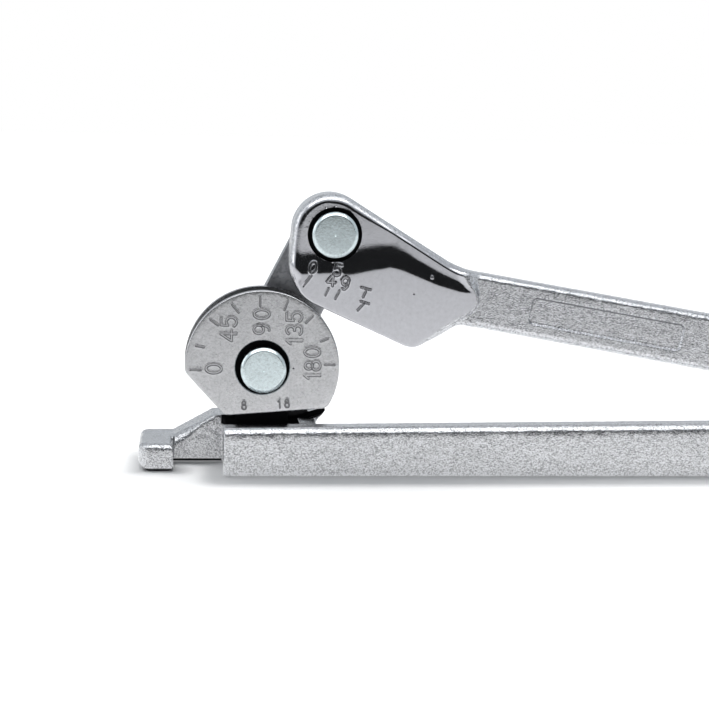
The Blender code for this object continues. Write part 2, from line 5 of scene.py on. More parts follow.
import bmesh
import bpy
import numpy as np
from mathutils import Matrix, Vector, noise as perlin
from mathutils.geometry import delaunay_2d_cdt


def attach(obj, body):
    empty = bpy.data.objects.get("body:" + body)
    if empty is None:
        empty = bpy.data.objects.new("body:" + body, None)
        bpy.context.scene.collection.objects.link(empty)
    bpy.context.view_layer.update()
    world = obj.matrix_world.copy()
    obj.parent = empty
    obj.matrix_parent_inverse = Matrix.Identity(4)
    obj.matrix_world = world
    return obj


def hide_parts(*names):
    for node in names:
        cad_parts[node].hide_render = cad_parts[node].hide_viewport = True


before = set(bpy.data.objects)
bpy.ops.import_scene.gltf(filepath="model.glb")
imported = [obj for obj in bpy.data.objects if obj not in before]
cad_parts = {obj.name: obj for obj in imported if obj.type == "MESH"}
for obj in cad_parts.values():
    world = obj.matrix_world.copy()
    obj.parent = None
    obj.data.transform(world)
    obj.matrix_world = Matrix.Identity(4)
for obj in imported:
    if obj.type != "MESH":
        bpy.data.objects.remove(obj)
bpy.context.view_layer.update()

# All sizes here are millimetres, the same as the solid model's, and become metres in each mesh
MM = 0.001
PIVOT_Z = 25.6
UPPER_X, UPPER_Z = 17.20624, 59.36915
LIP_ANGLE = radians(-24.3)
FRONT_Y, REAR_Y = -5.6, 6.8
BORE = 4.3
PIN_R = 4.0
RECESS_R = 6.75
RECESS_Y = FRONT_Y + 2.6
LINK_FRONT, LINK_BACK = 8.4, 12.4


# ---------- outlines and meshes ----------

def line(angle, distance):
    return cos(angle), sin(angle), distance


def side(heading, distance):
    return line(heading - pi / 2, distance)


def meet(first, second):
    det = first[0] * second[1] - second[0] * first[1]
    x = (first[2] * second[1] - second[2] * first[1]) / det
    z = (first[0] * second[2] - second[0] * first[2]) / det
    return x, z


def clip(points, cut):
    kept = []
    for here, after in zip(points, points[1:] + points[:1]):
        a = here[0] * cut[0] + here[1] * cut[1] - cut[2]
        b = after[0] * cut[0] + after[1] * cut[1] - cut[2]
        if a <= 0.0:
            kept.append(here)
        if a * b < 0.0:
            s = a / (a - b)
            kept.append((here[0] + (after[0] - here[0]) * s, here[1] + (after[1] - here[1]) * s))
    return kept


def circle(centre, radius, sides):
    return [(centre[0] + radius * cos(2 * pi * k / sides), centre[1] + radius * sin(2 * pi * k / sides))
            for k in range(sides)]


def outline(corners, inset=0.0, step=radians(4)):
    """Points of an outline of rounded corners (x, z, radius), anticlockwise, drawn in by an inset."""
    count = len(corners)
    edges = []
    for i, c in enumerate(corners):
        n = corners[(i + 1) % count]
        heading = atan2(n[1] - c[1], n[0] - c[0])
        wall = line(heading - pi / 2, 0.0)
        edges.append((heading, hypot(n[0] - c[0], n[1] - c[1]),
                      (wall[0], wall[1], c[0] * wall[0] + c[1] * wall[1] - inset)))
    points = []
    for i, c in enumerate(corners):
        h_in, run_in, w_in = edges[i - 1]
        h_out, run_out, w_out = edges[i]
        turn = (h_out - h_in + pi) % (2 * pi) - pi
        x, z = meet(w_in, w_out)
        if c[2] == 0.0:
            points.append((x, z))
            continue
        radius = min(c[2], min(run_in, run_out) / 2 / tan(abs(turn) / 2))
        radius = max(radius - inset, 0.03) if turn > 0 else radius + inset
        reach = radius / cos(turn / 2)
        middle = (h_in + h_out + (2 * pi if abs(h_out - h_in) > pi else 0)) / 2
        toward = middle + pi / 2 if turn > 0 else middle - pi / 2
        cx, cz = x + reach * cos(toward), z + reach * sin(toward)
        steps = max(2, ceil(abs(turn) / step))
        start = h_in - pi / 2 if turn > 0 else h_in + pi / 2
        for k in range(steps + 1):
            a = start + turn * k / steps
            points.append((cx + radius * cos(a), cz + radius * sin(a)))
    return points


def mesh_from(name, verts, faces):
    """A mesh in metres from points in millimetres."""
    mesh = bpy.data.meshes.new(name)
    mesh.from_pydata([(x * MM, y * MM, z * MM) for x, y, z in verts], [], faces)
    mesh.validate()
    return mesh


def add(name, mesh):
    piece = bpy.data.objects.new(name, mesh)
    bpy.context.scene.collection.objects.link(piece)
    return piece


def smooth(mesh, angle=30):
    mesh.shade_smooth()
    mesh.set_sharp_from_angle(angle=radians(angle))


def loft(name, loops, closed=False, caps=True):
    """Joins matching loops, capped at both ends or closed on itself, with its normals outward."""
    size = len(loops[0])
    verts = [p for loop in loops for p in loop]
    rows = len(loops)
    faces = []
    for r in range(rows if closed else rows - 1):
        a, b = r * size, (r + 1) % rows * size
        for k in range(size):
            n = (k + 1) % size
            faces.append((a + n, a + k, b + k, b + n))
    if not closed and caps:
        faces.append(tuple(range(size)))
        faces.append(tuple(reversed(range((rows - 1) * size, rows * size))))
    mesh = mesh_from(name, verts, faces)
    work = bmesh.new()
    work.from_mesh(mesh)
    bmesh.ops.recalc_face_normals(work, faces=work.faces)
    work.to_mesh(mesh)
    work.free()
    smooth(mesh)
    return mesh


def edge_layers(y_front, y_back, e_front, e_back, steps):
    """Pairs of (y, inset) that round the front and back edges of an extrusion."""
    layers = []
    if e_front:
        for k in range(steps):
            a = pi / 2 * k / steps
            layers.append((y_front + e_front * (1 - cos(a)), e_front * (1 - sin(a))))
    layers.append((y_front + e_front, 0.0))
    layers.append((y_back - e_back, 0.0))
    if e_back:
        for k in reversed(range(steps)):
            a = pi / 2 * k / steps
            layers.append((y_back - e_back * (1 - cos(a)), e_back * (1 - sin(a))))
    return layers


def slab(name, corners, y_front, y_back, e_front=0.0, e_back=0.0, steps=6, arc=radians(4)):
    """An outline extruded along Y with rounded front and back edges."""
    layers = edge_layers(y_front, y_back, e_front, e_back, steps)
    return loft(name, [[(x, y, z) for x, z in outline(corners, inset, arc)] for y, inset in layers])


def swelled_slab(name, points, radius, y_front, y_back, e_front, e_back, steps=5, arc=radians(4)):
    """Extrudes a convex outline swelled by a radius, so that its corners have that radius."""
    spokes = []
    for k, here in enumerate(points):
        before, after = points[k - 1], points[(k + 1) % len(points)]
        h_in = atan2(here[1] - before[1], here[0] - before[0])
        turn = (atan2(after[1] - here[1], after[0] - here[0]) - h_in + pi) % (2 * pi) - pi
        count = max(1, ceil(turn / arc))
        spokes += [(here[0], here[1], h_in - pi / 2 + turn * j / count) for j in range(count + 1)]
    loops = []
    for y, inset in edge_layers(y_front, y_back, e_front, e_back, steps):
        reach = radius - inset
        loops.append([(x + reach * cos(a), y, z + reach * sin(a)) for x, z, a in spokes])
    return loft(name, loops)


def lathe(name, profile, centre=(0.0, 0.0), sides=96, closed=False):
    """A turned piece about an axis along Y, from its (radius, y) profile."""
    loops = []
    for radius, y in profile:
        loops.append([(centre[0] + radius * cos(2 * pi * k / sides), y,
                       centre[1] + radius * sin(2 * pi * k / sides)) for k in range(sides)])
    return loft(name, loops, closed=closed)


def square(points):
    return [(x, z, 0.0) for x, z in points]


def place(mesh, matrix):
    mesh.transform(matrix)
    return mesh


def boolean(piece, meshes, operation="DIFFERENCE"):
    """Applies exact booleans and keeps the result as the piece's own mesh."""
    guides = []
    for k, mesh in enumerate(meshes):
        guide = add("guide_%d" % k, mesh)
        guides.append(guide)
        modifier = piece.modifiers.new("b%d" % k, "BOOLEAN")
        modifier.operation = operation
        modifier.solver = "EXACT"
        modifier.object = guide
    bpy.context.view_layer.update()
    graph = bpy.context.evaluated_depsgraph_get()
    result = bpy.data.meshes.new_from_object(piece.evaluated_get(graph))
    piece.modifiers.clear()
    piece.data = result
    for guide in guides:
        bpy.data.objects.remove(guide)
    smooth(result)
    return piece


def inside(points, rings):
    """Which points lie inside an odd number of closed rings."""
    points = np.asarray(points, float)
    hit = np.zeros(len(points), bool)
    for ring in rings:
        ring = np.asarray(ring, float)
        x0, z0 = ring[:, 0], ring[:, 1]
        x1, z1 = np.roll(x0, -1), np.roll(z0, -1)
        for a, b, c, d in zip(x0, z0, x1, z1):
            cross = (b > points[:, 1]) != (d > points[:, 1])
            if cross.any():
                at = a + (points[cross, 1] - b) * (c - a) / (d - b)
                flip = points[cross, 0] < at
                index = np.where(cross)[0][flip]
                hit[index] = ~hit[index]
    return hit


def fill(rings, extra):
    """Triangles over the space between rings, through extra inner points."""
    points, edges = [], []
    for ring in rings:
        start = len(points)
        points += [tuple(p) for p in ring]
        edges += [(start + k, start + (k + 1) % len(ring)) for k in range(len(ring))]
    border = len(points)
    points += [tuple(p) for p in extra]
    out = delaunay_2d_cdt([Vector(p) for p in points], edges, [], 0, 1e-6)
    verts = np.array([tuple(v) for v in out[0]])
    tris = np.array([f for f in out[2] if len(f) == 3])
    middle = verts[tris].mean(axis=1)
    tris = tris[inside(middle, rings)]
    a, b, c = verts[tris[:, 0]], verts[tris[:, 1]], verts[tris[:, 2]]
    turn = (b[:, 0] - a[:, 0]) * (c[:, 1] - a[:, 1]) - (b[:, 1] - a[:, 1]) * (c[:, 0] - a[:, 0])
    flip = turn < 0
    tris[flip] = tris[flip][:, ::-1]
    return verts, tris[np.abs(turn) > 1e-9], border


def near_path(points, path):
    """Distance from each point to a polyline, its signed side (left positive) and its share along."""
    points = np.asarray(points, float)
    best = np.full(len(points), 1e9)
    sign = np.zeros(len(points))
    share = np.zeros(len(points))
    path = np.asarray(path, float)
    runs = np.hypot(*np.diff(path, axis=0).T)
    total = runs.sum()
    done = 0.0
    for a, b, run in zip(path, path[1:], runs):
        ab = b - a
        t = np.clip(((points - a) @ ab) / (ab @ ab), 0, 1)
        gap = points - (a + t[:, None] * ab)
        d = np.hypot(gap[:, 0], gap[:, 1])
        closer = d < best
        cross = ab[0] * (points[:, 1] - a[1]) - ab[1] * (points[:, 0] - a[0])
        best = np.where(closer, d, best)
        sign = np.where(closer, np.sign(cross), sign)
        share = np.where(closer, (done + t * run) / total, share)
        done += run
    return best, sign, share


def ease(t):
    t = np.clip(t, 0, 1)
    return t * t * (3 - 2 * t)


def grid(rings, pitch, margin):
    """Points of a staggered grid inside rings, kept clear of their borders."""
    outer = np.asarray(rings[0])
    low, high = outer.min(0), outer.max(0)
    rows = np.arange(low[1], high[1], pitch * 0.866)
    points = []
    for k, z in enumerate(rows):
        xs = np.arange(low[0] + (k % 2) * pitch / 2, high[0], pitch)
        points.append(np.column_stack([xs, np.full(len(xs), z)]))
    points = np.concatenate(points)
    points = points[inside(points, rings)]
    for ring in rings:
        loop = np.vstack([ring, ring[:1]])
        points = points[near_path(points, loop)[0] > margin]
    return points


# ---------- stamped figures ----------

def bow(cx, cy, rx, ry, start, end, steps=14):
    return [(cx + rx * cos(radians(start + (end - start) * k / steps)),
             cy + ry * sin(radians(start + (end - start) * k / steps))) for k in range(steps + 1)]


FIGURES = {
    "0": [bow(0.5, 0.5, 0.38, 0.5, 0, 360, 24)],
    "1": [[(0.24, 0.76), (0.5, 1.0), (0.5, 0.0)]],
    "3": [bow(0.44, 0.73, 0.34, 0.27, 150, -90) + bow(0.44, 0.25, 0.4, 0.25, 90, -150)],
    "4": [[(0.68, 0.0), (0.68, 1.0), (0.08, 0.3), (0.95, 0.3)]],
    "5": [[(0.82, 1.0), (0.2, 1.0), (0.16, 0.56)] + bow(0.46, 0.33, 0.4, 0.33, 120, -150)],
    "8": [bow(0.5, 0.76, 0.3, 0.24, 0, 360, 20), bow(0.5, 0.27, 0.38, 0.27, 0, 360, 20)],
    "9": [bow(0.5, 0.68, 0.36, 0.32, 0, 360, 20), bow(0.5, 0.55, 0.36, 0.55, 20, -100, 10)],
}


def figure(text, centre, height, width, turn):
    """Paths of one figure about its centre; turn is the way its foot-to-head line is turned."""
    paths = []
    for path in FIGURES[text]:
        placed = []
        for u, v in path:
            x, z = (u - 0.5) * width, (v - 0.5) * height
            placed.append((centre[0] + x * cos(turn) - z * sin(turn),
                           centre[1] + x * sin(turn) + z * cos(turn)))
        paths.append(placed)
    return paths


def marks_height(points, marks):
    """Height of stamped marks: a sunken stroke between two low raised rims."""
    height = np.zeros(len(points))
    for path, width, depth, rim in marks:
        d = near_path(points, path)[0]
        floor = 1 - ease((d - width / 2 + 0.09) / 0.18)
        ridge = np.exp(-((d - width / 2 - 0.13) / 0.11) ** 2)
        height = np.where(floor > 0.02, np.minimum(height, -depth * floor), height)
        height = height + rim * ridge * (floor < 0.5)
    return height


def marks_dark_lines(points, marks):
    """How dark each point is made: thin dark lines along both walls of each stroke."""
    darkening = np.zeros(len(points))
    for path, width, depth, rim in marks:
        d = near_path(points, path)[0]
        line_at = 0.5 * width - 0.04
        darkening = np.maximum(darkening, np.exp(-((d - line_at) / 0.095) ** 2) * min(1.0, depth / 0.10))
    return darkening


def write_darkening(mesh, darkening):
    mesh.attributes.new("darkening", "FLOAT", "POINT").data.foreach_set("value", np.asarray(darkening, np.float32))


def points_of(mesh):
    """The mesh's points in millimetres."""
    co = np.empty(len(mesh.vertices) * 3, np.float32)
    mesh.vertices.foreach_get("co", co)
    return co.reshape(-1, 3).astype(float) / MM


def marks_points(marks, rings, pitch=0.09, reach=0.42):
    """Close points near marks."""
    found = []
    for path, width, depth, rim in marks:
        path = np.asarray(path)
        low, high = path.min(0) - width / 2 - reach, path.max(0) + width / 2 + reach
        xs, zs = np.arange(low[0], high[0], pitch), np.arange(low[1], high[1], pitch)
        points = np.array(np.meshgrid(xs, zs)).reshape(2, -1).T
        points = points[near_path(points, path)[0] < width / 2 + reach]
        found.append(np.round(points / pitch) * pitch)
    points = np.unique(np.concatenate(found), axis=0)
    points = points[inside(points, rings)]
    for ring in rings:
        points = points[near_path(points, np.vstack([ring, ring[:1]]))[0] > 0.12]
    return points


# ---------- materials ----------

def metal(name, colour, rough, grain=0.0, grain_size=0.45, wave=0.0, wave_size=3.0, tint=0.06,
          rough_spread=0.06, mask=None, polish_rough=0.1, polish_colour=None, fleck=0.0,
          fleck_size=0.5, darkening=False):
    """Plated steel whose grain is bumped and whose tone and roughness drift a little.

    With a mask attribute, the grain and roughness give way to a polished face where the mask is 1.
    With darkening, the tone goes near black where the mesh's darkening attribute is 1: painted shade in the groove,
    under the wheel, along the feet and on the panel's walls, and thin dark lines in the stamped marks."""
    material = bpy.data.materials.new(name)
    material.use_nodes = True
    tree = material.node_tree
    nodes, links = tree.nodes, tree.links
    shader = nodes["Principled BSDF"]
    shader.inputs["Metallic"].default_value = 1.0
    where = nodes.new("ShaderNodeTexCoord").outputs["Object"]

    def noise(size_mm, detail=3.0, rough_noise=0.55):
        n = nodes.new("ShaderNodeTexNoise")
        n.inputs["Scale"].default_value = 1.0 / (size_mm * MM)
        n.inputs["Detail"].default_value = detail
        n.inputs["Roughness"].default_value = rough_noise
        links.new(where, n.inputs["Vector"])
        return n.outputs["Fac"]

    def spread(value, low, high, start=0.25, end=0.75):
        m = nodes.new("ShaderNodeMapRange")
        m.inputs["From Min"].default_value = start
        m.inputs["From Max"].default_value = end
        m.inputs["To Min"].default_value = low
        m.inputs["To Max"].default_value = high
        links.new(value, m.inputs["Value"])
        return m.outputs["Result"]

    def mix(kind, a, b, factor):
        m = nodes.new("ShaderNodeMix")
        m.data_type = kind
        ins = [s for s in m.inputs if s.enabled]
        for socket, value in zip(ins, (factor, a, b)):
            if hasattr(value, "is_output"):
                links.new(value, socket)
            else:
                socket.default_value = value
        return [s for s in m.outputs if s.enabled][0]

    low = tuple(c * (1 - tint) for c in colour) + (1.0,)
    high = tuple(min(1.0, c * (1 + tint)) for c in colour) + (1.0,)
    tone = mix("RGBA", low, high, spread(noise(5.0, 4.0), 0, 1))
    if fleck:
        dull = tuple(c * (1 - fleck) for c in colour) + (1.0,)
        tone = mix("RGBA", tone, dull, spread(noise(fleck_size, 2.0), 0, 1, 0.50, 0.60))
    roughness = spread(noise(1.3, 4.0), rough - rough_spread, rough + rough_spread)
    keep = None
    if mask:
        attribute = nodes.new("ShaderNodeAttribute")
        attribute.attribute_name = mask
        keep = attribute.outputs["Fac"]
        smooth_rough = spread(noise(2.0, 3.0), polish_rough * 0.8, polish_rough * 1.3)
        roughness = mix("FLOAT", roughness, smooth_rough, keep)
        wear_and_shade = tuple(c * 0.90 for c in polish_colour) + (1.0,)
        shine = mix("RGBA", polish_colour + (1.0,), wear_and_shade, spread(noise(0.9, 5.0, 0.7), 0, 1, 0.40, 0.70))
        tone = mix("RGBA", tone, shine, keep)
    # Near black where the darkening attribute is 1: mostly painted shade, with thin dark lines in the stamped marks.
    if darkening:
        darkening_mask = nodes.new("ShaderNodeAttribute")
        darkening_mask.attribute_name = "darkening"
        tone = mix("RGBA", tone, (0.018, 0.018, 0.02, 1.0), darkening_mask.outputs["Fac"])
        roughness = mix("FLOAT", roughness, 0.55, darkening_mask.outputs["Fac"])
    links.new(tone, shader.inputs["Base Color"])
    links.new(roughness, shader.inputs["Roughness"])
    normal = None
    for size, amount in ((wave_size, wave), (grain_size, grain), (grain_size * 0.4, grain * 0.35)):
        if not amount:
            continue
        bump = nodes.new("ShaderNodeBump")
        bump.inputs["Distance"].default_value = amount * MM
        if keep is not None:
            links.new(mix("FLOAT", 1.0, 0.3 if size == wave_size else 0.05, keep), bump.inputs["Strength"])
        else:
            bump.inputs["Strength"].default_value = 1.0
        links.new(noise(size, 2.0), bump.inputs["Height"])
        if normal:
            links.new(normal, bump.inputs["Normal"])
        normal = bump.outputs["Normal"]
    if normal:
        links.new(normal, shader.inputs["Normal"])
    return material


def dress(piece, material, body, slot, *nodes):
    piece.data.materials.clear()
    piece.data.materials.append(material)
    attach(piece, body)
    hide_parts(*nodes)
    return piece


wheel_steel = metal("wheel_steel", (0.50, 0.50, 0.51), 0.24, grain=0.03, grain_size=0.6, tint=0.05, darkening=True,
                    fleck=0.12, fleck_size=0.5)
forged_steel = metal("forged_steel", (0.60, 0.605, 0.62), 0.17, grain=0.09, grain_size=0.34, wave=0.02,
                     wave_size=2.2, darkening=True, fleck=0.40, fleck_size=0.42)
slide_steel = metal("slide_steel", (0.62, 0.625, 0.645), 0.17, grain=0.09, grain_size=0.34, wave=0.02, wave_size=2.2,
                    mask="polish", polish_rough=0.10, polish_colour=(0.52, 0.52, 0.545), darkening=True, fleck=0.42,
                    fleck_size=0.40)
# The link's dark tone is painted shade, for the link lies deep behind the wheel.
link_steel = metal("link_steel", (0.29, 0.295, 0.31), 0.32, grain=0.03, grain_size=0.5, wave=0.1, tint=0.10,
                   fleck=0.22, fleck_size=0.9)
pin_steel = metal("pin_steel", (0.60, 0.675, 0.69), 0.24, grain=0.02, grain_size=0.4, tint=0.03, fleck=0.12,
                  fleck_size=0.7)
washer_steel = metal("washer_steel", (0.50, 0.51, 0.53), 0.30, grain=0.02, tint=0.08, fleck=0.15)
bush_bronze = metal("bush_bronze", (0.60, 0.42, 0.22), 0.34, grain=0.02)
spring_steel = metal("spring_steel", (0.22, 0.22, 0.24), 0.36, grain=0.02)
# A near-black material that stands in for shade: painted shade in the pivot recesses, on the wheel's tongue and in the
# gap under the wheel.
shade_black = metal("shade_black", (0.012, 0.012, 0.013), 0.7, grain=0.02)
shade_black_shader = shade_black.node_tree.nodes["Principled BSDF"]
shade_black_shader.inputs["Metallic"].default_value = 0.0
shade_black_shader.inputs["Specular IOR Level"].default_value = 0.0


def paint_recess_shade(piece, centre):
    """Paints the pivot's recess and bore near black, as painted shade in the hollow."""
    mesh = piece.data
    mesh.materials.append(shade_black)
    for face in mesh.polygons:
        x, y, z = (c / MM for c in face.center)
        if hypot(x - centre[0], z - centre[1]) < RECESS_R + 0.02 and y > FRONT_Y + 0.14:
            face.material_index = 1


# ---------- form wheel ----------

def dress_face(piece, level, marks, pitch, extra_height=None, place_back=None):
    """Replaces a flat face that looks along -Y by a fine mesh that carries the stamped marks."""
    mesh = piece.data
    work = bmesh.new()
    work.from_mesh(mesh)
    flat = [f for f in work.faces
            if all(abs(v.co.y - level * MM) < 2e-7 for v in f.verts) and f.normal.y < -0.9]
    bmesh.ops.delete(work, geom=flat, context="FACES")
    open_edges = [e for e in work.edges if len(e.link_faces) == 1]
    after = {}
    for e in open_edges:
        a, b = e.verts
        after.setdefault(a, []).append(b)
        after.setdefault(b, []).append(a)
    rings, seen = [], set()
    for start in after:
        if start in seen:
            continue
        ring, here, last = [], start, None
        while here not in seen:
            seen.add(here)
            ring.append(here)
            options = [v for v in after[here] if v is not last]
            last, here = here, options[0]
        rings.append(ring)
    flat_rings = [[(v.co.x / MM, v.co.z / MM) for v in ring] for ring in rings]
    order = sorted(range(len(rings)), key=lambda k: -len(rings[k]) * 0 - np.ptp(np.array(flat_rings[k])[:, 0]))
    rings = [rings[k] for k in order]
    flat_rings = [flat_rings[k] for k in order]
    dense = marks_points(marks, flat_rings)
    coarse = grid(flat_rings, pitch, pitch * 0.6)
    keep = np.ones(len(coarse), bool)
    for path, width, depth, rim in marks:
        keep &= near_path(coarse, path)[0] > width / 2 + 0.46
    extra = np.concatenate([dense, coarse[keep]])
    verts, tris, border = fill(flat_rings, extra)
    height = marks_height(verts, marks)
    if extra_height is not None:
        height = height + extra_height(verts)
    ring_verts = [v for ring in rings for v in ring]
    made = []
    for k, (x, z) in enumerate(verts):
        if k < border:
            made.append(ring_verts[k])
        else:
            made.append(work.verts.new((x * MM, (level - height[k]) * MM, z * MM)))
    for a, b, c in tris:
        try:
            work.faces.new((made[a], made[b], made[c]))
        except ValueError:
            pass
    bmesh.ops.recalc_face_normals(work, faces=work.faces)
    work.to_mesh(mesh)
    work.free()
    smooth(mesh, 35)


def wheel_marks():
    up = radians(90)
    marks = []
    for text, x, z in (("0", -12.3, 0.2), ("4", -8.75, 8.4), ("5", -8.7, 12.0), ("9", -0.6, 10.1),
                       ("0", -0.6, 13.9), ("1", 7.6, 7.35), ("3", 7.5, 10.1), ("5", 7.5, 13.35),
                       ("1", 12.2, -1.35), ("8", 12.25, 1.1), ("0", 12.1, 4.5)):
        for path in figure(text, (x, z + PIVOT_Z), 3.8, 2.9, up):
            marks.append((path, 0.56, 0.06 if text == "1" else 0.10, 0.025))
    ticks = [((-18.0, -0.2), (-15.5, -0.18)), ((-16.7, 5.86), (-14.8, 5.5)), ((-13.2, 12.4), (-11.3, 11.0)),
             ((-7.96, 16.2), (-6.3, 14.2)), ((-1.02, 18.2), (-1.0, 15.9)), ((5.75, 17.0), (5.0, 15.0)),
             ((12.0, 13.4), (10.4, 11.8)), ((14.2, 7.2), (15.9, 7.9)), ((15.3, 1.35), (17.7, 1.3))]
    for a, b in ticks:
        marks.append(([(a[0], a[1] + PIVOT_Z), (b[0], b[1] + PIVOT_Z)], 0.40, 0.10, 0.025))
    marks.append(([(7.43, 26.02), (7.5, 26.02)], 0.3, 0.10, 0.0))
    lean = radians(3.5)
    for text, x, z in (("8", -4.7, -8.95), ("1", 4.2, -8.5), ("8", 6.0, -8.4)):
        for path in figure(text, (x, z + PIVOT_Z), 2.1, 1.35, lean):
            marks.append((path, 0.30, 0.09, 0.03))
    return marks


def make_wheel():
    centre = (0.65 * cos(radians(113)), 0.65 * sin(radians(113)))
    soft = 2.5
    rim = clip(circle(centre, 19.2 - soft, 180), side(radians(4.5), 10.9 * cos(radians(4.5)) - soft))
    rim = clip(rim, line(radians(223), 14.7 - soft))
    rim = [(x, z + PIVOT_Z) for x, z in rim]
    wheel = add("wheel", swelled_slab("wheel", rim, soft, FRONT_Y, REAR_Y, 0.35, 0.35))
    groove = []
    for k in range(25):
        a = pi / 2 + pi * k / 24
        groove.append((18.0 + 4.15 * cos(a), 4.15 * sin(a)))
    groove += [(21.9, -4.15), (21.9, 4.15)]
    axis = (0.0, PIVOT_Z)
    hub = (centre[0], centre[1] + PIVOT_Z)
    pocket = square([(-6.8, -12.0), (6.8, -12.0), (6.8, PIVOT_Z - 7.5), (-6.8, PIVOT_Z - 7.5)])
    tools = [
        lathe("groove", groove, axis, 160, closed=True),
        lathe("bore", [(BORE, FRONT_Y - 2), (BORE, REAR_Y + 2)], axis, 96),
        lathe("recess", [(RECESS_R + 1.0, FRONT_Y - 0.8), (RECESS_R, FRONT_Y + 0.2), (RECESS_R, RECESS_Y)], hub, 128),
        slab("pocket", pocket, -3.1, 3.1),
    ]
    boolean(wheel, tools)
    marks = wheel_marks()
    dress_face(wheel, FRONT_Y, marks, 0.9)
    co = points_of(wheel.data)
    x, y, z = co.T
    # Painted shade darkens the groove between the flanges, less at its upper left.
    turn = np.arctan2(z - PIVOT_Z, x)
    wear_and_shade = 0.75 - 0.5 * np.exp(-((turn - 2.5) / 0.45) ** 2)
    groove_shade = (np.hypot(x, z - PIVOT_Z) < 19.0) * (np.abs(y) < 4.3) * wear_and_shade
    write_darkening(wheel.data, np.maximum(marks_dark_lines(co[:, [0, 2]], marks) * (y < FRONT_Y + 0.3), groove_shade))
    return wheel


wheel = make_wheel()
dress(wheel, wheel_steel, "form", "wheel", "form_wheel")
paint_recess_shade(wheel, (0.65 * cos(radians(113)), 0.65 * sin(radians(113)) + PIVOT_Z))


# ---------- lower handle ----------

def make_bar():
    """The bar: one cross-section run along X, a little taller and rounded at its far end."""
    start, end, tall, taller, nose = -9.8, 190.0, 12.0, 14.4, 5.5
    upper = [(-12.5, 2.4), (-12.36, 1.35), (-11.88, 0.66), (-11.5, 0.25), (-11.0, 0.04), (-10.6, 0.0),
             (-6.6, 0.0), (-6.2, 0.15), (-6.0, 0.6)]
    lower = [(-6.0, 0.6), (-6.2, 0.15), (-6.6, 0.0), (-11.9, 0.0), (-12.35, 0.15), (-12.5, 0.6)]
    stations = [(start, 0.3), (start + 0.12, 0.08), (start + 0.3, 0.0)] + [(x, 0.0) for x in range(0, 180, 20)]
    stations += [(end - nose * (1 - sin(pi / 2 * k / 10)), nose * (1 - cos(pi / 2 * k / 10))) for k in range(11)]
    loops = []
    for x, less in stations:
        top = tall + (taller - tall) * (x - start) / (end - start) - less
        edge = min(less, 0.3)
        loops.append([(x, y + (edge if y < -9 else -edge), top - down) for y, down in upper]
                     + [(x, y + (edge if y < -9 else -edge), less + up) for y, up in lower])
    bar = melt(add("lower_bar", loft("lower_bar", loops)), 0.33, 2)
    x, y, z = points_of(bar.data).T
    edge = tall + (taller - tall) * (x - start) / (end - start) - 1.6
    return forge(bar, share=1 + 2.6 * np.exp(-((z - edge) / 0.8) ** 2) * (y < -11.2))


def forge(piece, coarse=0.025, fine=0.015, share=None):
    """Dents and pits of a forged skin, as real relief."""
    mesh = piece.data
    co = points_of(mesh)
    normals = np.empty(len(co) * 3, np.float32)
    mesh.vertices.foreach_get("normal", normals)
    height = np.array([coarse * perlin.noise(Vector(c / 1.7)) + fine * perlin.noise(Vector(c / 0.75 + 31.0))
                       for c in co])
    if share is not None:
        height *= share
    co += normals.reshape(-1, 3) * (height - 0.5 * (coarse + fine))[:, None]
    mesh.vertices.foreach_set("co", (co * MM).astype(np.float32).ravel())
    mesh.update()
    return piece


def melt(piece, voxel, rounds, factor=0.5):
    """Remeshes a piece evenly and softens it, as forging and tumbling leave it."""
    remesh = piece.modifiers.new("even", "REMESH")
    remesh.mode = "VOXEL"
    remesh.voxel_size = voxel * MM
    soften = piece.modifiers.new("soft", "SMOOTH")
    soften.factor = factor
    soften.iterations = rounds
    bpy.context.view_layer.update()
    graph = bpy.context.evaluated_depsgraph_get()
    result = bpy.data.meshes.new_from_object(piece.evaluated_get(graph))
    piece.modifiers.clear()
    piece.data = result
    result.shade_smooth()
    return piece


